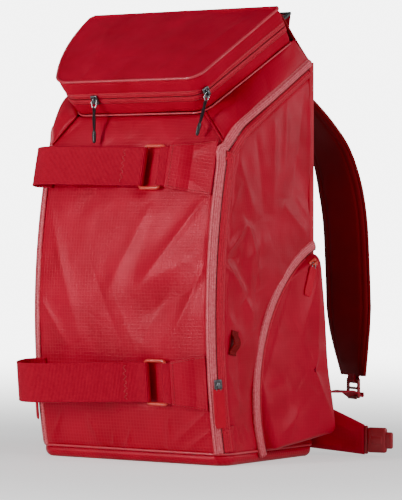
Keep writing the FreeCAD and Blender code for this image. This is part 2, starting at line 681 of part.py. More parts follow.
def cord_pull(name, at, hang, out):
    """A wire link through the slider's bridge with a knotted cord and a moulded end hanging from it."""
    at, hang, out = V(*at), unit(*hang), unit(*out)
    link = pull_tab(f"{name}_link", at, hang, out, S["link_width"], S["link_length"], S["link_thick"],
                    S["link_slot"])
    start = at + out * BAR_RISE + hang * (SIZES["link_length"] - 1.5)
    cord = doc.addObject("Part::Cylinder", f"{name}_cord")
    bind(cord, "Radius", S["cord"] / 2)
    bind(cord, "Height", S["cord_length"])
    turn = FreeCAD.Rotation(V(0, 0, 1), hang)
    cord.Placement = FreeCAD.Placement(start, turn)
    end = doc.addObject("Part::Cylinder", f"{name}_end")
    bind(end, "Radius", S["cord"] * 0.85)
    bind(end, "Height", S["cord_end"])
    overlap = 4
    end_at = start + hang * (SIZES["cord_length"] - SIZES["cord_end"] + overlap)
    end.Placement = FreeCAD.Placement(end_at, turn)
    return fuse(name, link, cord, end)


SLIDER_STAND = SIZES["tape"] + SIZES["skin_gap"] + SIZES["slider_plate"] / 2 + 0.4


def lid_sliders():
    """Two sliders that meet on the lid's zip: one on the front run, one just round the right corner."""
    skirt = SIZES["skirt"]
    reach = math.hypot(SIZES["peak_y"] - SIZES["brow_y"], SIZES["peak_z"] - SIZES["brow_z"])
    at = LID_FRAME.multVec(V(reach + SLIDER_STAND + 0.1, skirt, 0)) + V(SIZES["front_slider_x"], 0, 0)
    node("front_lid_slider", slider("front_lid_slider", at, INWARD, FORWARD))
    node("front_lid_pull", cord_pull("front_lid_pull", at, (0, 0, -1), (0, -1, 0)))
    corner_half, past_corner = 103, 8
    front = LID_FRAME.multVec(V(reach, skirt, corner_half))
    back = LID_FRAME.multVec(V(0, skirt, SIZES["peak_half"]))
    along = (back - front).normalize()
    out = along.cross(INWARD).normalize()
    if out.x < 0:
        out = -out
    at = front + along * past_corner + out * (SLIDER_STAND + 0.5)
    node("side_lid_slider", slider("side_lid_slider", at, INWARD, out))
    hang = unit(-0.2, -0.16, -1)
    flat = (out - hang * out.dot(hang)).normalize()
    node("side_lid_pull", cord_pull("side_lid_pull", at, hang, flat))


def door_hardware():
    """The slider low on each door's zip, its long pull tab, and the lash loop behind the zip."""
    place, out, down = front_frame(S["slider_z"])
    band = SIZES["band"]
    middle = V(SIZES["front_half"] + band, 0, 0)
    side_out = (V(1, 0, 0) + out).normalize()
    at = place.Base - out * band + middle + side_out * SLIDER_STAND
    both_sides("door_slider", slider("door_slider", at, -down, side_out))
    both_sides("door_pull", pull_tab("door_pull", at, down, side_out, S["pull_width"], S["pull_length"],
                                     S["pull_thick"], S["pull_slot"]))
    loop_at = V(SIZES["side_front"] + 0.8, SIZES["lash_y"], SIZES["lash_z"])
    turn = FreeCAD.Rotation(V(0, 0.2, 0.98), V(1, 0, 0), V(), "XYZ")
    across = turn.multVec(V(0, 0, 1))
    base, half, foot = S["web"] / 2 + 0.5, S["lash_half"], 5
    path = [(-half, base), (foot - half, base), (half - foot, base), (half, base)]
    place = FreeCAD.Placement(loop_at, turn)
    both_sides("lash_loop", webbing("lash_loop", place, across, path, {1: -S["lash_bow"]}, S["lash_web"]))


def pocket_hardware():
    """The slider at the top of each pocket's zip and its pull tab, flat on the pocket's face."""
    y, z = SIZES["pocket_slider_y"], SIZES["pocket_slider_z"]
    at = pocket_face(y, z) + POCKET_OUT * (SIZES["slider_plate"] / 2 + 0.4)
    radial = V(0, y - SIZES["pocket_y"], z - SIZES["pocket_z"])
    along = (radial - POCKET_OUT * radial.dot(POCKET_OUT)).normalize().cross(POCKET_OUT)
    both_sides("pocket_slider", slider("pocket_slider", at, along, POCKET_OUT))
    toe, top = ("pocket_toe_y", "pocket_toe_z"), ("pocket_top_y", "pocket_top_z")
    crease = V(0, SIZES[toe[0]] - SIZES[top[0]], SIZES[toe[1]] - SIZES[top[1]])
    hang = (crease - POCKET_OUT * crease.dot(POCKET_OUT)).normalize()
    both_sides("pocket_pull", pull_tab("pocket_pull", at, hang, POCKET_OUT, S["pull_width"] - 2,
                                       S["pull_length"] - 8, S["pull_thick"], S["pull_slot"]))


# ---------------------------------------------------------------- back system and hip belt

YAW = math.radians(28)
OUTWARD = V(math.sin(YAW), math.cos(YAW), 0)
ACROSS = V(math.cos(YAW), -math.sin(YAW), 0)


def shoulder_straps():
    """Padded straps that arch from the top of the back down to a ladder lock and webbing at the bottom."""
    start = V(SIZES["strap_x"], SIZES["strap_y"], 0)
    place = FreeCAD.Placement(start, FreeCAD.Rotation(OUTWARD, V(0, 0, 1), V(), "XYZ"))
    thick = S["strap_thick"]
    inset = thick / 2
    outline = [(0.0, S["strap_top_z"] - inset), (S["strap_bend"] - inset, S["strap_bend_z"]),
               (S["strap_reach"] - inset, S["strap_turn_z"]), (S["strap_reach"] - inset, S["strap_low_z"])]
    arcs = {0: -275.0, 1: -484.0}
    path = sketch_on("shoulder_path", "XY", outline, arcs, False, place)
    half = S["strap_width"] / 2
    body = extrude("shoulder_pad", ribbon("shoulder_face", path, thick), tuple(ACROSS), half, half)
    both_sides("shoulder_strap", body)

    reach, low = SIZES["strap_reach"] - SIZES["strap_thick"] / 2, SIZES["strap_low_z"]
    below, half_lock = 7, SIZES["lock_length"] / 2
    lock_at = start + OUTWARD * reach + V(0, 0, low - below - half_lock)
    lock = ladder_lock("strap_lock", lock_at, tuple(ACROSS), (0, 0, 1))
    both_sides("strap_lock", lock)

    foot = V(SIZES["adjuster_x"], SIZES["back_y"] + 2.4, SIZES["adjuster_z"])
    knee = lock_at - V(0, 0, half_lock + 2)
    span = knee - foot
    flat = V(span.x, span.y, 0)
    frame = FreeCAD.Placement(foot, FreeCAD.Rotation(flat, V(0, 0, 1), V(), "XYZ"))
    across = frame.Rotation.multVec(V(0, 0, 1))
    lowest = flat.Length * 0.62
    path = [(3.0, 0.0), (lowest, -S["adjuster_sag"]), (flat.Length, span.z)]
    band = webbing("adjuster", frame, across, path, {0: 90.0, 1: 60.0}, S["narrow_web"])
    both_sides("adjuster_webbing", band)


def ladder_lock(name, at, across, along):
    """A moulded buckle with two slots for webbing."""
    lock = Moulding(name, rectangle(S["lock_width"], S["lock_length"]), S["lock_thick"])
    slot = (S["lock_width"] - 8, S["lock_length"] / 4)
    lock.window(rectangle(*slot, 0.0, S["lock_length"] / 4), rectangle(*slot, 0.0, -S["lock_length"] / 4))
    lock.rounded(0.8, lambda edge: edge.Length > 5)
    return lock.placed(at, across, along)


def board(name, corner, lengths):
    """A flat plastic stiffener, from its lowest corner."""
    part = doc.addObject("Part::Box", name)
    for prop, value in zip(("Length", "Width", "Height"), lengths):
        bind(part, prop, value)
    part.Placement = FreeCAD.Placement(V(*corner), FreeCAD.Rotation())
    return part


def back_system():
    """Stiffeners inside the fabric, foam pads on the wearer's side, the haul handle and the load lifters."""
    gap, thick, wall = 1.0, S["board"], SIZES["wall"]
    half = SIZES["front_half"] - SIZES["base_sheet_margin"]
    depth = S["base_sheet_depth"]
    rear = SIZES["back_y"] - wall
    margin = 13.5
    node("base_board", board("base_sheet", (-half, rear - margin - number(depth), wall + gap),
                             ((S["front_half"] - S["base_sheet_margin"]) * 2, depth, thick)))
    node("back_frame_sheet", board(
        "back_sheet", (-SIZES["front_half"], rear - gap - SIZES["board"], SIZES["back_sheet_z"]),
        (S["front_half"] * 2, thick, S["back_sheet_height"])))

    pads, pad_z = [], 265
    for i, sign in enumerate((1, -1)):
        pad = Moulding(f"back_pad_{i}", rectangle(S["pad_width"], S["pad_height"]), S["pad_thick"])
        pad.rounded(4.0)
        at = (sign * SIZES["pad_x"], SIZES["back_y"] + 0.4 + SIZES["pad_thick"] / 2, pad_z)
        pads.append(pad.placed(at, (1, 0, 0), (0, 0, 1)))
    node("back_pads", group("back_pad_pair", *pads))

    rise, run = SIZES["peak_z"] - SIZES["shoulder_back_z"], SIZES["back_y"] - SIZES["peak_y"]
    slope, out = unit(0, run, -rise), unit(0, rise, run)
    peak = V(0, SIZES["peak_y"], SIZES["peak_z"])
    handle = Moulding("haul_handle", rectangle(S["handle_width"], S["handle_height"]), S["handle_thick"])
    handle.window(rectangle(S["handle_slot"], S["handle_gap"]))
    handle.rounded(1.2, lambda edge: edge.Length > 10)
    at = peak + slope * SIZES["handle_drop"] + out * SIZES["handle_lift"]
    node("haul_handle", handle.placed(at, (1, 0, 0), tuple(-slope)))

    tabs, locks, bands = [], [], []
    wide, half_lock = S["lifter_tab"], SIZES["lock_length"] / 2
    lean = (out + slope * 0.35).normalize()
    for sign in (1, -1):
        foot = peak + slope * SIZES["lifter_drop"] + V(sign * SIZES["lifter_x"], 0, 0) + out * 0.5
        lengths = (wide, S["lifter_tab_length"], S["web"])
        corner = (-SIZES["lifter_tab"] / 2, 1.0, -SIZES["web"] / 2)
        tabs.append(slab(f"lifter_tab_{sign + 1}", foot, (1, 0, 0), tuple(lean), lengths, corner))
        lock_at = foot + lean * (SIZES["lifter_tab_length"] + half_lock + 1.5)
        locks.append(ladder_lock(f"lifter_lock_{sign + 1}", lock_at, (1, 0, 0), tuple(lean)))
        bands.append(lifter_band(sign, lock_at + lean * (half_lock + 6)))
    node("load_lifter_tabs", group("lifter_tab_pair", *tabs))
    node("load_lifter_locks", group("lifter_lock_pair", *locks))
    node("load_lifter_webbing", group("lifter_band_pair", *bands))


def lifter_band(sign, start):
    """Webbing from a load lifter's lock back to the top of the shoulder strap."""
    reach = 42
    end = V(sign * (SIZES["strap_x"] + reach * OUTWARD.x), SIZES["strap_y"] + reach * OUTWARD.y,
            SIZES["strap_top_z"] - 4)
    run = end - start
    length = run.Length
    across = run.cross(V(0, 0, 1)).normalize()
    width, thick = SIZES["narrow_web"], 1.6
    return slab(f"lifter_band_{sign + 1}", start, tuple(run), tuple(across),
                (length, S["narrow_web"], thick), (1.0, -width / 2, -thick / 2))


def hip_belt():
    """Fabric wings from the foot of the back panel, each narrowing to half of a side-release buckle."""
    length, height, low, web = S["wing_length"], S["wing_height"], S["wing_low"], S["belt_web"]
    slant = 8
    outline = [(0.0, low + slant), (length, low), (length, low + web), (length * 0.3, low + height),
               (0.0, low + height)]
    wing = Moulding("hip_wing_cloth", outline, S["wing_thick"])
    wing.rounded(1.6)
    base = V(SIZES["wing_x"], SIZES["wing_y"], 0)
    along = V(0.985, 0.174, 0)
    both_sides("hip_wing", wing.placed(base, tuple(along), (0, 0, 1)))
    start = base + along * (SIZES["wing_length"] + 1)
    body, tip, nose = S["buckle_body"], S["buckle_length"], S["buckle_nose"]
    shape = [(0.0, low), (body, low), (tip, low + nose), (tip, low + web - nose), (body, low + web),
             (0.0, low + web)]
    buckle = Moulding("belt_buckle", shape, S["buckle_thick"])
    buckle.window(rectangle(S["buckle_slot"], web - 12, nose, low + web / 2))
    buckle.rounded(1.0, lambda edge: edge.Length > 20)
    both_sides("hip_buckle", buckle.placed(start, tuple(along), (0, 0, 1)))


panels()
zips()
pockets()
lash_strap("upper", S["upper_z"], S["upper_ring_x"], S["upper_slack"])
lash_strap("lower", S["lower_z"], S["lower_ring_x"], S["lower_slack"])
lid_sliders()
door_hardware()
pocket_hardware()
shoulder_straps()
back_system()
hip_belt()


# ---------------------------------------------------------------- export


def export():
    """Writes every finished piece, once each object has been checked."""
    doc.recompute()
    failed = [o.Name for o in doc.Objects if "Invalid" in o.State or "Error" in o.State]
    if failed:
        raise RuntimeError(f"these objects failed: {failed}")
    os.makedirs("parts", exist_ok=True)
    for part in NODES:
        shape = part.Shape
        if shape.isNull() or not shape.isValid() or not shape.Solids:
            raise RuntimeError(f"{part.Label} is not a valid solid")
        shape.exportStep(f"parts/{part.Label}.step")


export()
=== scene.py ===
import json
import math

import bpy
import numpy as np
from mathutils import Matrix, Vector, noise


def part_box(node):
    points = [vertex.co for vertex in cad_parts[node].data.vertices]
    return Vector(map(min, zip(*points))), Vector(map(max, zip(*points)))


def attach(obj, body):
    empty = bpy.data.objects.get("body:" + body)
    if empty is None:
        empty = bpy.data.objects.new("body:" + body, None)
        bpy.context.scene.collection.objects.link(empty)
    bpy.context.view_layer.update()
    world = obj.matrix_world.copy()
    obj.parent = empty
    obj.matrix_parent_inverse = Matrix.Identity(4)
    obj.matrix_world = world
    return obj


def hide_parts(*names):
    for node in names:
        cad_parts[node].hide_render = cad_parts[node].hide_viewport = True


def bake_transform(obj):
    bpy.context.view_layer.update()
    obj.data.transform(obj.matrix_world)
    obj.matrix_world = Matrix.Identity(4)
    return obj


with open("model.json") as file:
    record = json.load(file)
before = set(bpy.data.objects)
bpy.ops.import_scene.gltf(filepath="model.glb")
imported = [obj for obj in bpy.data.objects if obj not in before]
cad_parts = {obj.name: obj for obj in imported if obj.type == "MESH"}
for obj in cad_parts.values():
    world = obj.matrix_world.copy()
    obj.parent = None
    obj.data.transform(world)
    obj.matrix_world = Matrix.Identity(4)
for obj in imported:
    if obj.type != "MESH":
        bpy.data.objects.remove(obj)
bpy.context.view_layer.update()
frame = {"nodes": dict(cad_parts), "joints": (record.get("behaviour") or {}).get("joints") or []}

MM = 0.001


# ---------------------------------------------------------------- places, from the frame

def box(node):
    """Lowest and highest corner of a CAD node, in millimetres."""
    low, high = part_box(node)
    return np.array(low) * 1000, np.array(high) * 1000


JOINTS = {j["name"]: j for j in frame["joints"]}


def joint_at(name):
    return np.array(JOINTS[name]["pos_m"]) * 1000


def joint_axis(name):
    axis = np.array(JOINTS[name]["axis"], float)
    return axis / np.linalg.norm(axis)


def unit(v):
    v = np.asarray(v, float)
    return v / np.maximum(np.linalg.norm(v, axis=-1, keepdims=True), 1e-9)


FRONT_LOW, FRONT_HIGH = box("front_panel")
BACK_LOW, BACK_HIGH = box("back_panel")
ARC_Y, ARC_Z = joint_at("right_door_slide")[1:]
ARC_R = ARC_Y - FRONT_LOW[1]
PEAK = joint_at("lid_hinge")
BACK_Y = BACK_HIGH[1]
SIDE_BACK = BACK_HIGH[0]
SIDE_FRONT = SIDE_BACK - 6.0
SHOULDER_FRONT, SHOULDER_BACK = 402.0, 500.0
NECK = ((98.5, -71.0, 434.0), (146.0, 65.3, 532.3))
BROW = ((107.0, -102.0, 475.0), (146.0, PEAK[1], PEAK[2]))
BASE_TOP = FRONT_LOW[2]


def front_y(z, inset=0.0):
    """Y of the bulging front at height z."""
    return ARC_Y - np.sqrt((ARC_R - inset) ** 2 - (np.asarray(z, float) - ARC_Z) ** 2)


def side_x(y):
    return SIDE_FRONT + (SIDE_BACK - SIDE_FRONT) * (np.asarray(y, float) + 98) / (BACK_Y + 98)


SHOULDER_SLOPE = (SHOULDER_BACK - SHOULDER_FRONT) / (BACK_Y - front_y(SHOULDER_FRONT))


def shoulder_z(y):
    return SHOULDER_FRONT + SHOULDER_SLOPE * (np.asarray(y, float) - front_y(SHOULDER_FRONT))


LID_RUN = np.array([0.0, BROW[0][1] - PEAK[1], BROW[0][2] - PEAK[2]])
LID_REACH = np.linalg.norm(LID_RUN)
LID_FORWARD = LID_RUN / LID_REACH
LID_DOWN = np.array([0.0, -LID_FORWARD[2], LID_FORWARD[1]])


# ---------------------------------------------------------------- meshes

def mesh_object(name, verts, faces, material, uvs=None, smooth=True):
    """A mesh piece from points in millimetres, with an optional UV pair for each vertex, also in millimetres."""
    data = bpy.data.meshes.new(name)
    data.from_pydata((np.asarray(verts, float) * MM).tolist(), [], faces)
    if uvs is not None:
        layer = data.uv_layers.new(name="UVMap")
        loops = np.zeros(len(data.loops), np.int32)
        data.loops.foreach_get("vertex_index", loops)
        layer.data.foreach_set("uv", (np.asarray(uvs, float)[loops] * MM).astype(np.float32).ravel())
    if smooth:
        data.polygons.foreach_set("use_smooth", np.ones(len(data.polygons), bool))
    data.materials.append(material)
    data.validate()
    obj = bpy.data.objects.new(name, data)
    bpy.context.scene.collection.objects.link(obj)
    return obj


def grid_normals(grid):
    du = np.gradient(grid, axis=0)
    dv = np.gradient(grid, axis=1)
    return unit(np.cross(du, dv))


def grid_uv(grid):
    """Arc lengths along both directions of a grid."""
    u = np.concatenate([np.zeros((1, grid.shape[1])), np.cumsum(np.linalg.norm(np.diff(grid, axis=0), axis=2), 0)])
    v = np.concatenate([np.zeros((grid.shape[0], 1)), np.cumsum(np.linalg.norm(np.diff(grid, axis=1), axis=2), 1)], 1)
    return np.stack([u - u.mean(), v], -1)


def edge_distance(grid):
    """Distance of each point from the nearest border of its grid."""
    uv = grid_uv(grid)
    u, v = uv[..., 0] - uv[:1, :, 0], uv[..., 1]
    return np.minimum(np.minimum(u, u[-1:] - u), np.minimum(v, v[:, -1:] - v))


def tuck(grid, depth=1.6, width=5.0):
    """Draws a sheet's borders down into its seams."""
    return grid - grid_normals(grid) * (depth * np.exp(-(edge_distance(grid) / width) ** 2))[..., None]


def sheet(name, grid, thickness, material):
    """A closed cloth sheet: a grid's front face, a back face set in by the thickness, and their rim."""
    nu, nv = grid.shape[:2]
    back = grid - grid_normals(grid) * thickness
    verts = np.concatenate([grid.reshape(-1, 3), back.reshape(-1, 3)])
    uv = grid_uv(grid).reshape(-1, 2)
    base, count = np.arange(nu * nv).reshape(nu, nv), nu * nv
    quads = np.stack([base[:-1, :-1], base[1:, :-1], base[1:, 1:], base[:-1, 1:]], -1).reshape(-1, 4)
    faces = quads.tolist() + (quads[:, ::-1] + count).tolist()
    rim = np.concatenate([base[:, 0], base[-1, 1:], base[-2::-1, -1], base[0, -2:0:-1]])
    nxt = np.roll(rim, -1)
    faces += np.stack([rim, rim + count, nxt + count, nxt], -1).tolist()
    return mesh_object(name, verts, faces, material, np.concatenate([uv, uv]))


def sweep(name, path, up, profile, material, closed=False):
    """A profile of (side, up) pairs carried along a path; closed joins the path's ends."""
    path, up = np.asarray(path, float), np.asarray(up, float)
    up = np.broadcast_to(up, path.shape)
    if closed:
        along = unit(np.roll(path, -1, 0) - np.roll(path, 1, 0))
    else:
        along = unit(np.gradient(path, axis=0))
    up = unit(up - along * np.sum(up * along, 1, keepdims=True))
    side = np.cross(along, up)
    profile = np.asarray(profile, float)
    if profile.ndim == 2:
        profile = np.broadcast_to(profile, (len(path),) + profile.shape)
    rings = path[:, None] + side[:, None] * profile[..., :1] + up[:, None] * profile[..., 1:]
    n, m = rings.shape[:2]
    step = np.linalg.norm(np.diff(path, axis=0), axis=1)
    length = np.concatenate([[0], np.cumsum(step)])
    around = np.concatenate([[0], np.cumsum(np.linalg.norm(np.diff(profile[0], axis=0), axis=1))])
    uv = np.stack(np.meshgrid(length, around, indexing="ij"), -1).reshape(-1, 2)
    uv[:, 1] = profile[..., 0].ravel()
    index = np.arange(n * m).reshape(n, m)
    turn = np.roll(index, -1, 1)
    stop = n if closed else n - 1
    ahead = np.roll(index, -1, 0)
    ahead_turn = np.roll(turn, -1, 0)
    faces = np.stack([index[:stop], turn[:stop], ahead_turn[:stop], ahead[:stop]], -1).reshape(-1, 4)
    faces = faces[:, ::-1].tolist()
    if not closed:
        faces += [index[0].tolist(), index[-1][::-1].tolist()]
    return mesh_object(name, rings.reshape(-1, 3), faces, material, uv)


def band_profile(width, thick, lift=0.0, edge=4):
    """A flat band's section with rounded edges."""
    r = thick / 2
    points = []
    for sign, start in ((1, -90), (-1, 90)):
        for k in range(edge + 1):
            a = math.radians(start + 180 * k / edge)
            points.append((sign * (width / 2 - r) + r * math.cos(a), lift + r * math.sin(a)))
    return points


def round_profile(radius, count=10, squash=1.0):
    return [(radius * math.cos(2 * math.pi * k / count), squash * radius * math.sin(2 * math.pi * k / count))
            for k in range(count)]


def resample(path, step):
    """Points at an even spacing along a path, with the arc length of each."""
    path = np.asarray(path, float)
    s = np.concatenate([[0], np.cumsum(np.linalg.norm(np.diff(path, axis=0), axis=1))])
    count = max(2, int(round(s[-1] / step)) + 1)
    t = np.linspace(0, s[-1], count)
    return np.stack([np.interp(t, s, path[:, k]) for k in range(path.shape[1])], 1)


def smooth_path(points, step=2.0):
    """A Catmull-Rom curve through points, evenly resampled."""
    p = np.asarray(points, float)
    p = np.concatenate([2 * p[:1] - p[1:2], p, 2 * p[-1:] - p[-2:-1]])
    out = []
    for a, b, c, d in zip(p[:-3], p[1:-2], p[2:-1], p[3:]):
        for t in np.linspace(0, 1, 24, endpoint=False):
            out.append(0.5 * (2 * b + (c - a) * t + (2 * a - 5 * b + 4 * c - d) * t * t
                              + (3 * b - a - 3 * c + d) * t ** 3))
    out.append(p[-2])
    return resample(out, step)


def stitches(name, path, normal, material, length=2.3, gap=1.3, radius=0.36):
    """A row of thread stitches lying on a surface along a path."""
    path = resample(path, 1.0)
    s = np.concatenate([[0], np.cumsum(np.linalg.norm(np.diff(path, axis=0), axis=1))])
    starts = np.arange(gap, s[-1] - length, length + gap)
    at = lambda t: np.stack([np.interp(t, s, path[:, k]) for k in range(3)], -1)
    a, b = at(starts), at(starts + length)
    along = unit(b - a)
    up = unit(np.broadcast_to(normal, a.shape) if np.ndim(normal) == 1 else
              np.stack([np.interp(starts, np.linspace(0, s[-1], len(normal)), np.asarray(normal)[:, k])
                        for k in range(3)], -1))
    side = np.cross(along, up)
    rings, sizes = (0.0, 0.18, 0.5, 0.82, 1.0), (0.35, 0.85, 1.0, 0.85, 0.35)
    angles = np.radians(np.arange(6) * 60)
    verts = []
    for t, size in zip(rings, sizes):
        centre = a + (b - a) * t + up * radius * (0.5 * size - 0.2)
        for angle in angles:
            verts.append(centre + (side * math.cos(angle) + up * math.sin(angle)) * radius * size)
    verts = np.stack(verts, 1)
    m = verts.shape[1]
    unit_faces = []
    for r in range(4):
        for k in range(6):
            n = (k + 1) % 6
            unit_faces.append((r * 6 + k, r * 6 + n, (r + 1) * 6 + n, (r + 1) * 6 + k))
    faces = [tuple(i * m + f for f in face) for i in range(len(verts)) for face in unit_faces]
    faces += [tuple(i * m + k for k in range(5, -1, -1)) for i in range(len(verts))]
    faces += [tuple(i * m + 24 + k for k in range(6)) for i in range(len(verts))]
    return mesh_object(name, verts.reshape(-1, 3), faces, material)


def joined(name, *objects):
    """Several meshes of one material set as one piece."""
    bpy.ops.object.select_all(action="DESELECT")
    for o in objects:
        o.select_set(True)
    bpy.context.view_layer.objects.active = objects[0]
    bpy.ops.object.join()
    objects[0].name = name
    objects[0].data.name = name
    return objects[0]


def mirror_copy(obj, name):
    """The mirror image of a piece across the bag's middle plane."""
    data = obj.data.copy()
    co = np.zeros(len(data.vertices) * 3, np.float32)
    data.vertices.foreach_get("co", co)
    co = co.reshape(-1, 3)
    co[:, 0] *= -1
    data.vertices.foreach_set("co", co.ravel())
    data.flip_normals()
    copy = bpy.data.objects.new(name, data)
    bpy.context.scene.collection.objects.link(copy)
    return copy


def place(obj, body, slot=None, *nodes):
    """Rides a finished piece on a body, and hides the CAD nodes it stands for."""
    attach(obj, body)
    if nodes:
        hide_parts(*nodes)
    return obj


def stretch(obj):
    """A soft piece: its placement is baked into its mesh."""
    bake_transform(obj)


def both(obj, body, slot=None, *nodes):
    """Places a right-hand piece and its mirror image. Body and nodes are given without their side."""
    name = obj.name
    copy = mirror_copy(obj, f"left_{name}")
    obj.name = f"right_{name}"
    for side, piece in (("right", obj), ("left", copy)):
        owner = body if body in ("bag", "lid") else f"{side}_{body}"
        place(piece, owner, slot, *[f"{side}_{n}" for n in nodes])
    return obj, copy


# ---------------------------------------------------------------- folds and waves in cloth

def waves(points, size, height, seed):
    """Smooth random height at each point."""
    flat = points.reshape(-1, 3) / size
    shift = Vector((seed * 7.3, seed * 3.1, seed * 11.7))
    values = [noise.noise(Vector(p) + shift) for p in flat]
    return np.array(values).reshape(points.shape[:-1]) * height


def fold(a, b, start, end, width, height, crisp=0.5):
    """Height of one fold that runs from start to end in the plane of coordinates a and b."""
    start, end = np.array(start, float), np.array(end, float)
    run = end - start
    length = np.linalg.norm(run)
    run = run / length
    t = ((a - start[0]) * run[0] + (b - start[1]) * run[1]) / length
    d = (a - start[0]) * run[1] - (b - start[1]) * run[0]
    spread = width * (0.55 + 0.9 * np.clip(t, 0, 1))
    ridge = np.exp(-(np.abs(d) / spread) ** (2 - crisp))
    fade = np.clip(t, 0, 1) * np.clip(1 - t, 0, 1) * 4
    reach = np.where((t > 0) & (t < 1), np.clip(fade, 0, 1) ** 0.6, 0)
    return height * ridge * reach


# ---------------------------------------------------------------- materials

class Nodes:
    """A short way to wire a procedural material."""

    def __init__(self, name):
        self.material = bpy.data.materials.new(name)
        self.material.use_nodes = True
        self.tree = self.material.node_tree
        self.tree.nodes.clear()
        self.output = self.tree.nodes.new("ShaderNodeOutputMaterial")
        self.shader = self.tree.nodes.new("ShaderNodeBsdfPrincipled")
        self.tree.links.new(self.shader.outputs[0], self.output.inputs[0])

    def set(self, **values):
        for key, value in values.items():
            self.plug(self.shader.inputs[key.replace("_", " ")], value)
        return self

    def plug(self, socket, value):
        if isinstance(value, bpy.types.NodeSocket):
            self.tree.links.new(value, socket)
        else:
            socket.default_value = value

    def add(self, kind, inputs=None, **settings):
        node = self.tree.nodes.new(kind)
        for key, value in settings.items():
            setattr(node, key, value)
        for key, value in (inputs or {}).items():
            self.plug(node.inputs[key], value)
        return node

    def math(self, operation, a, b=0.0):
        return self.add("ShaderNodeMath", {0: a, 1: b}, operation=operation).outputs[0]

    def noise(self, coords, scale, detail=2.0, rough=0.5):
        node = self.add("ShaderNodeTexNoise", {"Vector": coords, "Scale": scale, "Detail": detail, "Roughness": rough})
        return node.outputs["Fac"]

    def coords(self, uv=True):
        node = self.add("ShaderNodeTexCoord")
        return node.outputs["UV" if uv else "Object"]

    def axes(self, coords):
        node = self.add("ShaderNodeSeparateXYZ", {0: coords})
        return node.outputs[0], node.outputs[1]

    def ramp(self, value, low, high, colour_a, colour_b):
        node = self.add("ShaderNodeValToRGB", {"Fac": value})
        node.color_ramp.elements[0].position, node.color_ramp.elements[1].position = low, high
        node.color_ramp.elements[0].color = (*colour_a, 1)
        node.color_ramp.elements[1].color = (*colour_b, 1)
        return node.outputs[0]

    def stripe(self, axis, pitch, sharp):
        """A repeating ridge across one coordinate: 1 on the ridge, 0 between."""
        turn = self.math("MULTIPLY", axis, 2 * math.pi / (pitch * MM))
        wave = self.math("MULTIPLY_ADD", self.math("COSINE", turn), 0.5)
        self.tree.nodes[-1].inputs[2].default_value = 0.5
        return self.math("POWER", wave, sharp)

    def bump(self, height, distance, strength=1.0):
        node = self.add("ShaderNodeBump", {"Height": height, "Distance": distance * MM, "Strength": strength})
        return node.outputs[0]


RED = (0.400, 0.0, 0.0170)
RED_LIGHT = (0.500, 0.0, 0.0250)


def tarp(name, light=RED_LIGHT, dark=RED, rough=0.36, coat=0.35, pitch=4.4, ripstop=0.07, thread=0.14,
         gloss=0.5):
    """Coated ripstop cloth: a glossy film over a fine grid of thicker threads, with slight scuffs."""
    n = Nodes(name)
    uv, place_at = n.coords(), n.coords(False)
    u, v = n.axes(uv)
    lines = n.math("MAXIMUM", n.stripe(u, pitch, 12.0), n.stripe(v, pitch, 12.0))
    weave = n.math("MULTIPLY", n.math("ADD", n.stripe(u, 0.5, 1.0), n.stripe(v, 0.5, 1.0)), 0.12)
    cloud = n.noise(place_at, 18.0, 3.0)
    grain = n.noise(place_at, 900.0, 2.0)
    crumple = n.noise(place_at, 70.0, 3.0, 0.6)
    colour = n.ramp(cloud, 0.35, 0.7, dark, light)
    fleck = n.add("ShaderNodeMix", {"Factor": n.math("MULTIPLY", lines, thread), "A": colour,
                                      "B": (0.78, 0.045, 0.075, 1)},
                  data_type="RGBA")
    colour_out = fleck.outputs[2]
    height = n.math("ADD", n.math("ADD", lines, weave), n.math("MULTIPLY", grain, 0.25))
    fine = n.bump(height, ripstop)
    broad = n.add("ShaderNodeBump", {"Height": crumple, "Distance": 0.5 * MM, "Strength": 0.55, "Normal": fine})
    scuff = n.math("MULTIPLY_ADD", n.noise(place_at, 45.0, 4.0, 0.65), 0.22)
    n.tree.nodes[-1].inputs[2].default_value = rough - 0.10
    n.set(Base_Color=colour_out, Roughness=scuff, Normal=broad.outputs[0], Coat_Weight=coat * 0.12, Coat_Roughness=0.28,
          Specular_IOR_Level=gloss, Specular_Tint=(1.0, 0.16, 0.22, 1.0))
    return n.material


def webbing_material(name, light=(0.60, 0.002, 0.034), dark=(0.30, 0.0, 0.010), pitch=1.9, rough=0.55):
    """Woven strap: ribs across its width, with a finer twill in each rib. Its colour is a random tone with the rib
    crests painted lighter than the gaps, as painted highlight and painted shade.
    """
    n = Nodes(name)
    uv, place_at = n.coords(), n.coords(False)
    u, v = n.axes(uv)
    rib = n.stripe(u, pitch, 0.8)
    skew = n.math("ADD", u, n.math("MULTIPLY", v, 0.6))
    twill = n.stripe(skew, 0.9, 1.0)
    # Random tone plus the ribs: rib crests painted lighter than the gaps, a painted highlight and painted shade.
    tone_with_rib_light_and_shade = n.math("MULTIPLY_ADD", n.noise(place_at, 260.0, 3.0), 0.5)
    n.plug(n.tree.nodes[-1].inputs[2], n.math("MULTIPLY", rib, 0.6))
    colour = n.ramp(tone_with_rib_light_and_shade, 0.2, 0.95, dark, light)
    height = n.math("ADD", rib, n.math("MULTIPLY", twill, 0.35))
    n.set(Base_Color=colour, Roughness=rough, Normal=n.bump(height, 0.32), Sheen_Weight=0.10, Sheen_Roughness=0.4, Sheen_Tint=(1.0, 0.3, 0.35, 1.0),
          Specular_IOR_Level=0.3, Specular_Tint=(1.0, 0.3, 0.35, 1.0))
    return n.material


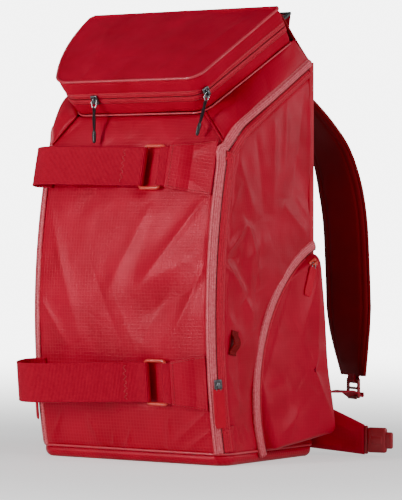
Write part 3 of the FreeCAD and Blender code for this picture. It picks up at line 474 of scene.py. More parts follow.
def zip_tape_material(name, light, dark):
    """Coated zip tape: fine ribs along it and across it under a shiny film. Its colour is a random mottle with the ribs
    painted lighter, a painted highlight on their crests.
    """
    n = Nodes(name)
    uv, place_at = n.coords(), n.coords(False)
    u, v = n.axes(uv)
    ribs = n.stripe(v, 2.6, 1.6)
    cross = n.stripe(u, 1.1, 1.0)
    patches = n.noise(place_at, 420.0, 3.0, 0.6)
    # Random mottle, with the ribs painted lighter as a painted highlight.
    tape_mottle_and_rib_highlight = n.math("ADD", n.math("MULTIPLY", patches, 0.8), n.math("MULTIPLY", ribs, 0.2))
    colour = n.ramp(tape_mottle_and_rib_highlight, 0.24, 0.70, dark, light)
    height = n.math("ADD", n.math("ADD", ribs, n.math("MULTIPLY", cross, 0.35)), n.math("MULTIPLY", patches, 0.8))
    n.set(Base_Color=colour, Roughness=0.36, Normal=n.bump(height, 0.30), Coat_Weight=0.08, Coat_Roughness=0.3,
          Specular_Tint=(1.0, 0.3, 0.35, 1.0))
    return n.material


def mesh_cloth(name, light, dark, pitch=2.4):
    """Spacer mesh: small holes in offset rows, painted dark in the holes as painted shade."""
    n = Nodes(name)
    uv = n.coords()
    u, v = n.axes(uv)
    a = n.math("ADD", u, n.math("MULTIPLY", v, 0.577))
    b = n.math("SUBTRACT", u, n.math("MULTIPLY", v, 0.577))
    knit = n.math("MULTIPLY", n.stripe(a, pitch, 1.0), n.stripe(b, pitch, 1.0))
    # The holes are painted dark: painted shade in the recesses.
    colour = n.ramp(knit, 0.25, 0.75, light, dark)
    height = n.math("SUBTRACT", 1.0, knit)
    n.set(Base_Color=colour, Roughness=0.75, Normal=n.bump(height, 0.7), Sheen_Weight=0.3)
    return n.material


def plain_metal(name, colour, rough, scratch=0.1):
    """Plated or enamelled metal with faint wear."""
    n = Nodes(name)
    place_at = n.coords(False)
    wear = n.noise(place_at, 400.0, 4.0, 0.7)
    n.set(Base_Color=n.ramp(wear, 0.3, 0.75, tuple(c * 0.7 for c in colour), colour), Metallic=1.0,
          Roughness=n.math("ADD", n.math("MULTIPLY", wear, scratch * 2), rough - scratch),
          Normal=n.bump(wear, 0.05))
    return n.material


def enamel(name, colour, rough=0.3):
    """Opaque enamel or moulded plastic with a slight orange-peel surface."""
    n = Nodes(name)
    place_at = n.coords(False)
    mottle = n.noise(place_at, 120.0, 3.0)
    skin = n.noise(place_at, 1500.0, 2.0)
    n.set(Base_Color=n.ramp(mottle, 0.3, 0.7, tuple(c * 0.82 for c in colour), colour), Roughness=rough,
          Normal=n.bump(skin, 0.06), Coat_Weight=0.25, Coat_Roughness=0.15, Specular_IOR_Level=0.5)
    return n.material


def thread_material(name, colour):
    n = Nodes(name)
    twist = n.noise(n.coords(False), 2500.0, 2.0)
    n.set(Base_Color=n.ramp(twist, 0.3, 0.7, tuple(c * 0.75 for c in colour), colour), Roughness=0.5,
          Normal=n.bump(twist, 0.1), Sheen_Weight=0.3)
    return n.material


M = {
    "tarp": tarp("tarp_red", rough=0.31, ripstop=0.09, thread=0.17, gloss=0.55),
    "tarp_lid": tarp("tarp_lid", rough=0.50, coat=0.0, ripstop=0.03, thread=0.04, gloss=0.20),
    "tarp_side": tarp("tarp_side", rough=0.34, coat=0.45, ripstop=0.04, thread=0.07),
    # The back cloth is painted darker than the other tarp, as painted shade.
    "tarp_back_painted_shade": tarp("tarp_back_painted_shade", light=(0.28, 0.0, 0.004), dark=(0.20, 0.0, 0.002), rough=0.55, coat=0.05),
    "web": webbing_material("webbing_red"),
    "web_dark": webbing_material("webbing_deep", (0.28, 0.0, 0.004), (0.14, 0.0, 0.001)),
    # The pale tape's pink is a painted sheen on a red tape.
    "tape": zip_tape_material("zip_tape_painted_sheen", (0.88, 0.21, 0.24), (0.56, 0.02, 0.05)),
    "tape_red": zip_tape_material("zip_tape_red", (0.66, 0.008, 0.040), (0.40, 0.0, 0.014)),
    "teeth": enamel("zip_teeth_red", (0.16, 0.0, 0.002), 0.4),
    # The piping's lighter pinkish red is a painted highlight along the seams.
    "piping": enamel("piping_red_painted_highlight", (0.66, 0.03, 0.06), 0.34),
    "thread": thread_material("thread_rose", (0.60, 0.06, 0.07)),
    "thread_red": thread_material("thread_red", (0.42, 0.004, 0.012)),
    "metal": plain_metal("gunmetal", (0.22, 0.22, 0.235), 0.32),
    "silver": plain_metal("nickel", (0.62, 0.62, 0.64), 0.25),
    "coral": enamel("coral_enamel", (0.80, 0.055, 0.035), 0.28),
    "red_plastic": enamel("red_acetal", (0.36, 0.0, 0.010), 0.36),
    "black_plastic": enamel("black_acetal", (0.018, 0.018, 0.020), 0.35),
    "cord": webbing_material("black_cord", (0.035, 0.036, 0.042), (0.008, 0.008, 0.010), 1.2, 0.6),
    "mesh": mesh_cloth("spacer_mesh", (0.16, 0.0, 0.002), (0.05, 0.0, 0.0005)),
    # The strap cloth's deep red is painted shade on the pads and the grip.
    "pad": tarp("strap_cloth_painted_shade", light=(0.22, 0.0, 0.004), dark=(0.16, 0.0, 0.002), rough=0.6, coat=0.0, pitch=1.2),
    # The edge strip is painted a lighter pinkish red than the side cloth, as a painted highlight along the back edge.
    "strip": tarp("edge_strip_painted_highlight", light=(0.60, 0.03, 0.05), dark=(0.46, 0.012, 0.028), rough=0.42, coat=0.2, pitch=1.4),
    "pull": tarp("pull_cloth", light=(0.62, 0.004, 0.030), dark=(0.50, 0.0, 0.020), rough=0.5, coat=0.1, pitch=1.2),
    # A near-black painted shade for a zip's gap.
    "gap": enamel("zip_gap_painted_shade", (0.06, 0.0, 0.001), 0.6),
    "board": enamel("board_black", (0.05, 0.05, 0.055), 0.5),
}


# ---------------------------------------------------------------- front, base and back

def sheet_lift(grid, height, out=None):
    """Raises a grid along its normals, or along one direction."""
    way = grid_normals(grid) if out is None else np.broadcast_to(out, grid.shape)
    return grid + way * height[..., None]


def front_relief(x, z):
    """How far the front's cloth stands off its form: a low crown, soft folds and corner creases."""
    crown = 2.2 * (1 - (x / 132) ** 2) * np.clip(np.sin(np.pi * (z - 10) / 425), 0, 1)
    for strap_z in (364, 103):
        crown = crown * (1 - 0.85 * np.exp(-((z - strap_z) / 34) ** 2))
    h = crown + fold(x, z, (130, 268), (-20, 196), 26, 4.0) - fold(x, z, (128, 228), (10, 172), 20, 3.0)
    creases = [
        ((118, 330), (20, 205), 9, 2.2), ((40, 322), (-35, 180), 12, 1.6), ((-118, 318), (-60, 150), 11, 1.5),
        ((126, 250), (70, 140), 7, 1.7), ((-126, 205), (-80, 140), 6, 1.2), ((30, 150), (95, 250), 14, -1.5),
        ((122, 66), (58, 17), 5, 2.0), ((126, 44), (84, 15), 3.5, 1.8), ((66, 62), (60, 16), 5, 1.6),
        ((8, 44), (-6, 14), 3, 1.6), ((-20, 38), (-24, 14), 3, 1.3), ((-98, 60), (-122, 18), 4, 1.6),
        ((-60, 58), (-40, 16), 6, 1.4), ((-90, 425), (-128, 396), 5, -1.0), ((90, 425), (128, 396), 5, -1.0),
        ((-60, 428), (-40, 398), 8, 1.2), ((30, 430), (55, 396), 8, 1.1), ((-10, 430), (-8, 404), 6, 0.9),
    ]
    for start, end, width, height in creases:
        h = h + fold(x, z, start, end, width, height)
    return h


def front_panel():
    z = np.linspace(BASE_TOP, FRONT_HIGH[2], 211)
    half = np.where(z < 397, 130.0, 130.0 + (NECK[0][0] - 130.0) * (z - 397) / (FRONT_HIGH[2] - 397))
    u = np.linspace(-1, 1, 141)
    x = u[:, None] * half[None]
    zz = np.broadcast_to(z, x.shape)
    grid = np.stack([x, front_y(zz), zz], -1)
    flat = np.stack([x, x * 0, zz], -1)
    lift = front_relief(x, zz) + waves(flat, 75, 1.6, 1) + waves(flat, 26, 0.5, 2)
    for loop_x, strap_z in ((18, 364), (37, 103)):
        lift = lift - 2.2 * np.exp(-((x - loop_x) / 15) ** 2 - ((zz - strap_z) / 31) ** 6)
    grid = tuck(sheet_lift(grid, lift, (0, -1, 0)), 1.4, 4.0)
    place(sheet("front_panel_cloth", grid, 2.0, M["tarp"]), "bag", "shell_fabric", "front_panel")


def ring_outline(z, inset=0.0):
    """Plan of the body at height z, with its corners eased."""
    y = float(front_y(z))
    corners = [(-130, y), (130, y), (143.6, y + 14), (149.4, 99), (-149.4, 99), (-143.6, y + 14)]
    closed = np.array(corners + corners[:1], float)
    path = resample(closed, 3.0)[:-1]
    for _ in range(4):
        path = 0.5 * path + 0.25 * (np.roll(path, 1, 0) + np.roll(path, -1, 0))
    tangent = unit(np.roll(path, -1, 0) - np.roll(path, 1, 0))
    normal = np.stack([tangent[:, 1], -tangent[:, 0]], 1)
    return path - normal * inset


def base():
    """A shallow tray with a rounded foot and a piped seam."""
    count = 300
    def ring(z, inset):
        path = ring_outline(12.0, inset)
        index = np.linspace(0, len(path), count, endpoint=False)
        at = np.stack([np.interp(index, np.arange(len(path) + 1), np.append(path[:, k], path[0, k])) for k in (0, 1)], 1)
        return np.column_stack([at, np.full(count, z)])
    foot = 9.0
    outer = [ring(foot - foot * math.cos(a), foot - foot * math.sin(a)) for a in np.radians(np.arange(8, 91, 10.25))]
    outer.append(ring(BASE_TOP, 0.6))
    inner = [ring(BASE_TOP, 2.6), ring(10.0, 2.6), ring(4.5, 5.0), ring(1.9, 9.0)]
    rings = outer + inner
    verts = np.concatenate(rings)
    faces = []
    for r in range(len(rings) - 1):
        a = np.arange(count) + r * count
        b = np.roll(a, -1)
        faces += np.stack([a, b, b + count, a + count], -1).tolist()
    faces.append(list(range(count))[::-1])
    faces.append([len(verts) - count + k for k in range(count)])
    place(mesh_object("base_tray", verts, faces, M["tarp"], verts[:, :2] + verts[:, 2:] * 0.5),
          "bag", "shell_fabric", "base_panel")
    seam = ring(BASE_TOP + 0.3, -0.6)
    cord = sweep("base_piping", seam, (0, 0, 1), round_profile(1.5), M["piping"], closed=True)
    place(cord, "bag", "shell_fabric")


def back():
    path = smooth_path([(99.6, BASE_TOP), (99.9, 160), (99.9, 330), (99.9, 470), (99, 497), (94, 507), (62, 535), (30, 565)], 4)
    v = np.linspace(-1, 1, 90)
    half = np.interp(path[:, 1], [0, 480, 566], [148.6, 149.2, 145.4])
    half = half - 4.0 * np.clip((path[:, 1] - 555) / 11, 0, 1) ** 2
    x = v[:, None] * half[None]
    grid = np.stack([x, np.broadcast_to(path[:, 0], x.shape), np.broadcast_to(path[:, 1], x.shape)], -1)[::-1]
    flat = np.stack([grid[..., 0], grid[..., 0] * 0, grid[..., 2]], -1)
    lift = waves(flat, 80, 1.2, 5) - 1.0
    grid = tuck(sheet_lift(grid, lift), 1.2, 4.0)
    place(sheet("back_cloth", grid, 2.0, M["tarp_back_painted_shade"]), "bag", "shell_fabric", "back_panel")


# ---------------------------------------------------------------- sides and doors

def side_relief(y, z):
    """Folds of the right side: a pucker beside the zip, soft columns and diagonals from the corners."""
    h = 3.0 * np.clip(np.sin(np.pi * (y + 105) / 215), 0, 1) * np.clip(np.sin(np.pi * (z - 60) / 450), 0, 1)
    creases = [
        ((-90, 262), (-50, 300), 6, 5.0), ((-90, 246), (-54, 205), 6, 5.0), ((-92, 254), (-66, 254), 6, -4.0),
        ((-50, 300), (-20, 215), 9, 4.0), ((-54, 205), (-30, 170), 8, 3.0),
        ((-92, 300), (-60, 350), 6, 1.9), ((-96, 190), (-55, 150), 7, 2.2), ((-90, 120), (-60, 60), 7, 2.4),
        ((-70, 385), (-30, 300), 10, 2.2), ((-30, 410), (-12, 300), 10, -2.0), ((10, 430), (4, 310), 9, 2.4),
        ((40, 455), (26, 330), 9, 2.2), ((80, 470), (50, 320), 11, -1.8), ((-45, 300), (-40, 160), 9, 2.0),
        ((-76, 200), (-60, 60), 8, -1.8), ((-20, 290), (-34, 190), 8, -1.6), ((30, 320), (92, 276), 8, 2.0),
        ((60, 330), (96, 300), 6, 1.6), ((-80, 60), (-60, 20), 5, 2.0), ((-56, 50), (-30, 16), 5, 1.8),
        ((90, 460), (90, 330), 6, 2.0), ((-60, 250), (0, 280), 9, 1.5),
    ]
    for start, end, width, height in creases:
        h = h + fold(y, z, start, end, width, height * 0.8)
    return h


def side_grid():
    u, v = np.meshgrid(np.linspace(0, 1, 110), np.linspace(0, 1, 215), indexing="ij")
    y = -90 + u * 187
    for _ in range(8):
        z = BASE_TOP + v * (shoulder_z(y) - 5.0 - BASE_TOP)
        y0 = front_y(np.minimum(z, 396), 9.0)
        y = y0 + u * (97.5 - y0)
    bevel = 129.0 + (y - front_y(np.minimum(z, 396)))
    return np.stack([np.minimum(side_x(y), bevel), y, z], -1)


def sides():
    edge = np.array([(float(side_x(94.5)) + 0.9, 94.6, z) for z in np.arange(26.0, 503.0, 4.0)])
    strip = [(-5.2, -0.8), (-5.0, 0.4), (-3.5, 1.3), (0, 1.6), (3.4, 1.4), (4.8, 0.6), (5.4, -0.8), (5.2, -2.4), (-5.2, -1.6)]
    both(sweep("side_back_strip", edge, (1, 0, 0), strip[::-1], M["strip"]), "bag", "shell_fabric")
    grid = side_grid()
    y, z = grid[..., 1], grid[..., 2]
    flat = np.stack([y, z, y * 0], -1)
    lift = side_relief(y, z) + waves(flat, 60, 2.2, 9) + waves(flat, 22, 0.7, 10)
    pocket = np.hypot(y - 166, z - 85) < 196
    lift = np.where(pocket, np.minimum(lift, 0.3), lift)
    u = (y - y[:1]) / 187.0
    from_strip = np.minimum(u * 187.0 - 7.0, (shoulder_z(y) - z) - 11.0)
    lift = lift * np.clip(from_strip / 12.0, 0, 1) ** 0.6 - 1.6 * np.exp(-(from_strip / 3.0) ** 2)
    grid = tuck(sheet_lift(grid, lift, (1, 0, 0)), 0.6, 3.0)
    right = sheet("side_cloth", grid, 1.8, M["tarp_side"])
    left = mirror_copy(right, "left_side_cloth")
    right.name = "right_side_cloth"
    run = joint_axis("right_door_fold")
    across = unit(np.cross(run, (1, 0, 0)))
    if across[1] > 0:
        across = -across
    for piece, side, flip in ((right, "right", 1), (left, "left", -1)):
        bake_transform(piece)
        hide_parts(f"{side}_door", f"{side}_side_panel")


# ---------------------------------------------------------------- door zip

def zip_line():
    """The door zip's centre line with its outward direction: up the corner, then back along the shoulder."""
    z = np.linspace(BASE_TOP + 2, 386, 80)
    points = [(137.0, float(front_y(k, 7.0)), k) for k in z]
    outs = [unit((1, -math.cos(math.asin((k - ARC_Z) / ARC_R)), (k - ARC_Z) / ARC_R)) for k in z]
    for y in np.linspace(-58, 94, 24):
        points.append((float(side_x(y)) + 0.2, y, float(shoulder_z(y))))
        t = np.clip((y + 58) / 60, 0, 1)
        outs.append(unit((0.9 + 0.08 * t, -0.22 * (1 - t), 0.40 * (1 - t) + 0.12)))
    points[80 - 3] = (137.3, -84.0, 389.0)
    path, ups = np.array(points), np.array(outs)
    s = np.concatenate([[0], np.cumsum(np.linalg.norm(np.diff(path, axis=0), axis=1))])
    t = np.arange(0, s[-1], 2.0)
    path = np.stack([np.interp(t, s, path[:, k]) for k in range(3)], 1)
    ups = np.stack([np.interp(t, s, ups[:, k]) for k in range(3)], 1)
    for _ in range(14):
        path[1:-1] = 0.5 * path[1:-1] + 0.25 * (path[2:] + path[:-2])
        ups[1:-1] = 0.5 * ups[1:-1] + 0.25 * (ups[2:] + ups[:-2])
    return path, unit(ups)


def teeth(name, path, up, material, pitch=2.2, size=(1.5, 2.2), lift=0.9):
    """The coil of a zip seen through the gap between its tapes: a run of small rounded bars."""
    path_fine = resample(path, pitch)
    along = unit(np.gradient(path_fine, axis=0))
    ups = np.stack([np.interp(np.linspace(0, 1, len(path_fine)), np.linspace(0, 1, len(up)), up[:, k])
                    for k in range(3)], 1)
    ups = unit(ups - along * np.sum(ups * along, 1, keepdims=True))
    side = np.cross(along, ups)
    a, b = size[0] / 2, size[1] / 2
    shape = [(-a, -b, -0.4), (a, -b, -0.4), (a, b, -0.4), (-a, b, -0.4),
             (-a * 0.6, -b * 0.8, 0.5), (a * 0.6, -b * 0.8, 0.5), (a * 0.6, b * 0.8, 0.5), (-a * 0.6, b * 0.8, 0.5)]
    verts = np.stack([path_fine + along * p[0] + side * p[1] + ups * (p[2] + lift) for p in shape], 1)
    block = [(0, 3, 2, 1), (4, 5, 6, 7), (0, 1, 5, 4), (1, 2, 6, 5), (2, 3, 7, 6), (3, 0, 4, 7)]
    faces = [tuple(8 * i + k for k in face) for i in range(len(path_fine)) for face in block]
    return mesh_object(name, verts.reshape(-1, 3), faces, material, smooth=False)


FRONT_TAPE = [(-12.0, -1.6), (-11.2, -0.2), (-10.0, 0.9), (-7.5, 1.7), (-3.0, 2.0), (-1.0, 1.9), (-0.5, 1.3),
              (-0.5, 0.2), (-3.0, 0.1), (-7.5, 0.1), (-10.0, -0.6), (-12.0, -2.8)]
REAR_TAPE = [(0.5, 1.3), (1.0, 1.9), (3.5, 2.0), (7.0, 1.8), (9.2, 1.3), (10.8, 0.2), (11.4, -1.0), (10.8, -1.6),
             (7.0, 0.0), (3.5, 0.1), (0.5, 0.2)]


def door_zips():
    path, up = zip_line()
    shoulder = np.clip((path[:, 1] + 78) / 24, 0, 1)
    puffed = [[(a, b + 3.4 * k * math.sin(math.pi * np.clip((-a - 0.5) / 11.5, 0, 1)) * (b > -0.3)) for a, b in FRONT_TAPE]
              for k in shoulder]
    front = sweep("door_zip_front", path, up, puffed, M["tape"])
    both(front, "bag", "zip_tape", "door_zip_front_tape")
    rear_path, rear_up = path[14:-5], up[14:-5]
    puffed = [[(a, b + 1.8 * k * math.sin(math.pi * np.clip((a - 0.5) / 11, 0, 1)) * (b > 0.25)) for a, b in REAR_TAPE]
              for k in shoulder[14:-5]]
    rear = sweep("door_zip_rear", rear_path, rear_up, puffed, M["tape_red"])
    both(rear, "door", "zip_tape", "door_zip_rear_tape")
    both(teeth("door_zip_teeth", path, up, M["teeth"]), "bag", "zip_tape")
    along = unit(np.gradient(path, axis=0))
    side = np.cross(along, up)
    seam = path - side * 9.2 + up * 1.5
    both(stitches("door_zip_stitches", seam, up, M["thread_red"]), "bag", "zip_tape")
    skirt = [(0.4, 1.0), (4, 1.4), (8, 1.2), (9.8, 0.4), (16, -2.2), (16, -4.0), (9.6, -1.2), (0.4, -0.4)]
    both(sweep("door_zip_root", path[:17], up[:17], skirt, M["tarp_side"]), "bag", "shell_fabric")
    both(sweep("door_zip_foot", path[:15], up[:15], REAR_TAPE, M["tape_red"]), "bag", "zip_tape")


# ---------------------------------------------------------------- yokes, collar and lid

def yokes():
    u, v = np.meshgrid(np.linspace(0, 1, 90), np.linspace(0, 1, 30), indexing="ij")
    low = np.array([(131.0, -79.5, 400.5), (144.6, -62.0, 418.5), (147.0, 10.0, 458.0), (149.4, 93.5, 505.5)])
    high = np.array([(98.8, -70.8, 434.2), (102.5, -61.0, 441.6), (123.5, 0.0, 485.3), (145.6, 63.5, 531.2)])
    t = np.array([0, 0.13, 0.52, 1])
    edge = lambda p: np.stack([np.interp(u, t, p[:, k]) for k in range(3)], -1)
    grid = edge(low) * (1 - v[..., None]) + edge(high) * v[..., None]
    for _ in range(6):
        grid[1:-1] = 0.5 * grid[1:-1] + 0.25 * (grid[2:] + grid[:-2])
    flat = np.stack([grid[..., 1], grid[..., 2], grid[..., 0]], -1)
    belly = np.sin(np.pi * u) ** 0.5 * np.sin(np.pi * v) ** 0.7
    for side, flip, puff in (("right", 1, 4.0), ("left", -1, 17.0)):
        lift = (3.0 + puff * np.exp(-((u - 0.24) / 0.26) ** 2)) * belly + waves(flat + 90.0 * flip, 40, 1.6, 21)
        lift = lift + fold(u * 170, v * 40, (20, 2), (60, 38), 5, 1.2) + fold(u * 170, v * 40, (80, 2), (104, 38), 6, -1.2)
        cloth = tuck(sheet_lift(grid, lift), 0.9, 3.0) * (flip, 1, 1)
        cloth = cloth[::-1] if flip < 0 else cloth
        place(sheet(f"{side}_yoke_cloth", cloth, 1.8, M["tarp_side"]), "bag", "shell_fabric", f"{side}_yoke")
    seam = smooth_path([(130.6, -79.9, 398.0), (120.5, -77.4, 410.0), (109.0, -74.2, 423.0), (98.6, -71.4, 434.4)], 1.5)
    both(sweep("yoke_seam", seam, (0.3, -0.8, 0.5), round_profile(1.6, 8), M["tarp_side"]), "bag", "shell_fabric")


LID_CORNER = 15.0
REAR_CORNER = 6.0
LEFT_BOW = 14.0


def lid_half(s, bow=0.0):
    """Half the lid's width at a distance s from its hinge: bowed sides and rounded corners."""
    half = BROW[1][0] + (BROW[0][0] - BROW[1][0]) * s / LID_REACH
    half = half + bow * np.sin(np.pi * np.clip(s / LID_REACH, 0, 1)) ** 0.8
    for corner, d in ((LID_CORNER, LID_REACH - s), (REAR_CORNER, s)):
        d = np.clip(d, 0, corner)
        half = half - (corner - np.sqrt(np.maximum(corner ** 2 - (corner - d) ** 2, 0)))
    return half


def lid_edge(depth, step=2.0):
    """The lid's edge from the right hinge corner round the brow to the left, at a depth under its face."""
    s = np.concatenate([REAR_CORNER * (1 - np.cos(np.radians(np.arange(0, 90, 6)))),
                        np.linspace(REAR_CORNER, LID_REACH - LID_CORNER, 60)[:-1],
                        LID_REACH - LID_CORNER + LID_CORNER * np.sin(np.radians(np.arange(0, 91, 6)))])
    shrink = (NECK[0][0] - BROW[0][0]) * depth / 51.4 * s / LID_REACH
    right = np.stack([lid_half(s) + shrink, s], 1)
    left = np.stack([-lid_half(s, LEFT_BOW * (1 - depth / 51.4)) - shrink, s], 1)[::-1]
    across = np.linspace(right[-1, 0], left[0, 0], 60)[1:-1]
    flat = np.concatenate([right, np.stack([across, np.full(len(across), LID_REACH)], 1), left])
    flat = resample(flat, step)
    return PEAK + flat[:, :1] * np.array([1, 0, 0]) + flat[:, 1:] * LID_FORWARD + LID_DOWN * depth


def edge_band(low_depth, high_depth, rows, count=240):
    """A grid that hangs under the lid's edge between two depths."""
    out = []
    for depth in np.linspace(low_depth, high_depth, rows):
        path = lid_edge(depth, 1.5)
        t = np.linspace(0, 1, count)
        out.append(np.stack([np.interp(t, np.linspace(0, 1, len(path)), path[:, k]) for k in range(3)], 1))
    return np.stack(out, 1)


def lid_top():
    t = 1 - (1 - np.linspace(0, 1, 90)) ** 1.6
    s = t * LID_REACH
    s = np.where(s < 20, 20 * (s / 20) ** 1.5, s) + 0.4 * (1 - t)
    u = np.linspace(-1, 1, 121)
    x = u[:, None] * np.where(u[:, None] > 0, lid_half(s)[None], lid_half(s, LEFT_BOW)[None])
    ss = np.broadcast_to(s, (121, 90))
    grid = PEAK + x[..., None] * np.array([1, 0, 0]) + ss[..., None] * LID_FORWARD
    crown = 4.5 * (1 - np.abs(u[:, None]) ** 2.6) * np.clip(np.sin(np.pi * np.clip(ss / LID_REACH, 0.02, 0.985)), 0, 1) ** 0.6
    flat = np.stack([x, ss, x * 0], -1)
    h = crown + waves(flat, 55, 1.5, 31) + waves(flat, 20, 0.35, 32)
    for start, end, width, height in [((-100, 30), (-60, 150), 9, 1.3), ((110, 20), (70, 140), 9, 1.4),
                                      ((-20, 156), (-14, 110), 8, 0.9), ((40, 156), (50, 120), 7, 0.9),
                                      ((-70, 156), (-66, 122), 7, 1.0)]:
        h = h + fold(x, ss, start, end, width, height)
    grid = grid - LID_DOWN * h[..., None]
    grid = tuck(grid, 1.2, 3.5)
    place(sheet("lid_cloth", grid[::-1], 1.8, M["tarp_lid"]), "lid", "shell_fabric", "lid")

    band = edge_band(0.6, 24.2, 16)
    u2, v2 = np.meshgrid(np.linspace(0, 430, band.shape[0]), np.linspace(0, 24, band.shape[1]), indexing="ij")
    flat = np.stack([u2, v2, v2 * 0], -1)
    lift = waves(flat, 30, 1.1, 35) + 1.0 * np.sin(np.pi * v2 / 24)
    place(sheet("lid_skirt_cloth", tuck(sheet_lift(band, lift), 1.0, 3.0), 1.6, M["tarp_lid"]), "lid", "shell_fabric")
    roll = np.array([(x, PEAK[1] + 0.2, PEAK[2] - 0.6) for x in np.linspace(-142, 142, 72)])
    place(sweep("lid_hinge_roll", roll, (0, 0, 1), round_profile(3.0, 12), M["tarp_lid"]), "bag", "shell_fabric")
    behind = unit((0, BACK_Y - PEAK[1], 500 - PEAK[2]))
    section = smooth_path([PEAK + behind * 12 + (0, -4, 0), PEAK + behind * 5 + (0, -3.4, 0), PEAK + (0, -3.0, -2.6),
                           PEAK + LID_FORWARD * 6 + LID_DOWN * 2.4, PEAK + LID_FORWARD * 14 + LID_DOWN * 3.0], 1.2)
    x = np.linspace(-141, 141, 60)[:, None, None] * np.array([1, 0, 0])
    strip = sheet("lid_hinge_strip", x + section[None], 1.2, M["tarp_lid"])
    stretch(strip)
    edge = lid_edge(-0.2)
    place(sweep("lid_piping", edge, -LID_DOWN, round_profile(1.7), M["piping"]), "lid", "shell_fabric")


def collar():
    band = edge_band(26.2, 50.0, 14)
    u2, v2 = np.meshgrid(np.linspace(0, 430, band.shape[0]), np.linspace(0, 24, band.shape[1]), indexing="ij")
    flat = np.stack([u2, v2, v2 * 0], -1)
    lift = waves(flat, 34, 1.6, 41) - 0.6 + 0.7 * np.sin(np.pi * v2 / 24)
    place(sheet("collar_cloth", tuck(sheet_lift(band, lift), 1.2, 3.0), 1.6, M["tarp_lid"]), "bag", "shell_fabric", "collar")
    seam = lid_edge(50.6)
    place(sweep("collar_piping", seam, -LID_DOWN, round_profile(1.3), M["piping"]), "bag", "shell_fabric")


def lid_zip():
    path = lid_edge(25.2)
    along = unit(np.gradient(path, axis=0))
    out = np.cross(along, -LID_DOWN)
    middle = path.mean(0)
    if np.sum((path - middle) * out) < 0:
        out = -out
    sides = np.cross(along, out)
    sign = 1.0 if float(np.mean(sides @ LID_DOWN)) > 0 else -1.0
    lower = [(0.5, 1.1), (1.2, 1.6), (4.0, 1.6), (7.4, 1.2), (8.0, 0.5), (8.0, 0.0), (4.0, 0.05), (0.5, 0.2)]
    upper = [(-a, b) for a, b in lower][::-1]
    if sign < 0:
        lower, upper = upper, lower
    place(sweep("lid_zip_lower", path, out, lower, M["tape_red"]), "bag", "zip_tape", "lid_zip_lower_tape")
    place(sweep("lid_zip_upper", path, out, upper, M["tape_red"]), "lid", "zip_tape", "lid_zip_upper_tape")
    place(teeth("lid_zip_teeth", path, out, M["teeth"], lift=0.6), "bag", "zip_tape")
    for name, off, body in (("lid_zip_stitches_upper", -6.6, "lid"), ("lid_zip_stitches_lower", 6.6, "bag")):
        place(stitches(name, path + LID_DOWN * off + out * 1.3, out, M["thread_red"]), body, "zip_tape")


# ---------------------------------------------------------------- pockets

POCKET_R = 190.0
POCKET_AT = np.array([166.0, 85.0])
POCKET_TOP, POCKET_TOE, POCKET_HEEL = (98.0, 262.4), (-10.5, 14.0), (98.0, 30.0)
POCKET_OUT = unit((1, -0.25, 0.1094))


def pocket_face(y, z):
    return 166.3 + 0.25 * y - 0.1094 * z


def pocket_arc(radius, low=None, high=None):
    """Points (y, z) along the pocket's bulging front edge, from toe to top."""
    start = math.atan2(POCKET_TOE[1] - POCKET_AT[1], POCKET_TOE[0] - POCKET_AT[0]) if low is None else low
    end = math.atan2(POCKET_TOP[1] - POCKET_AT[1], POCKET_TOP[0] - POCKET_AT[0]) if high is None else high
    angle = np.linspace(start % (2 * math.pi), end % (2 * math.pi), 90)
    return np.stack([POCKET_AT[0] + radius * np.cos(angle), POCKET_AT[1] + radius * np.sin(angle)], 1)


def pocket_outline(inset, count=260):
    arc = pocket_arc(POCKET_R - inset)[1:-1]
    back_y, foot = POCKET_TOP[0] - inset, lambda y: 14.0 + (y + 10.5) * 0.1475 + inset
    closed = np.concatenate([arc, [(back_y, 256 - inset * 1.6)], [(back_y, foot(back_y))], [(arc[0, 0] + 2, foot(arc[0, 0]))],
                             arc[:1]])
    path = resample(closed, 2.5)[:-1]
    for _ in range(5):
        path = 0.5 * path + 0.25 * (np.roll(path, 1, 0) + np.roll(path, -1, 0))
    index = np.linspace(0, len(path), count, endpoint=False)
    return np.stack([np.interp(index, np.arange(len(path) + 1), np.append(path[:, k], path[0, k])) for k in (0, 1)], 1)


def disc(name, rings, thickness, material, uv_axes=(1, 2)):
    """A closed cloth shell from rings that shrink towards a middle point."""
    rings = np.asarray(rings)
    du = np.gradient(rings, axis=0)
    dv = np.roll(rings, -1, 1) - np.roll(rings, 1, 1)
    normal = unit(np.cross(du, dv))
    if normal[..., 0].mean() < 0:
        normal = -normal
    back = rings - normal * thickness
    nr, na = rings.shape[:2]
    verts = np.concatenate([rings.reshape(-1, 3), back.reshape(-1, 3)])
    index = np.arange(nr * na).reshape(nr, na)
    turn = np.roll(index, -1, 1)
    count = nr * na
    quads = np.stack([index[:-1], turn[:-1], turn[1:], index[1:]], -1).reshape(-1, 4)
    sample = rings.reshape(-1, 3)[quads[len(quads) // 2]]
    if np.cross(sample[1] - sample[0], sample[3] - sample[0])[0] < 0:
        quads = quads[:, ::-1]
    faces = quads.tolist() + (quads[:, ::-1] + count).tolist()
    rim, rim_turn = index[0], turn[0]
    faces += np.stack([rim, rim + count, rim_turn + count, rim_turn], -1).tolist()
    faces += [index[-1].tolist(), (index[-1][::-1] + count).tolist()]
    uv = verts[:, list(uv_axes)]
    return mesh_object(name, verts, faces, material, uv)


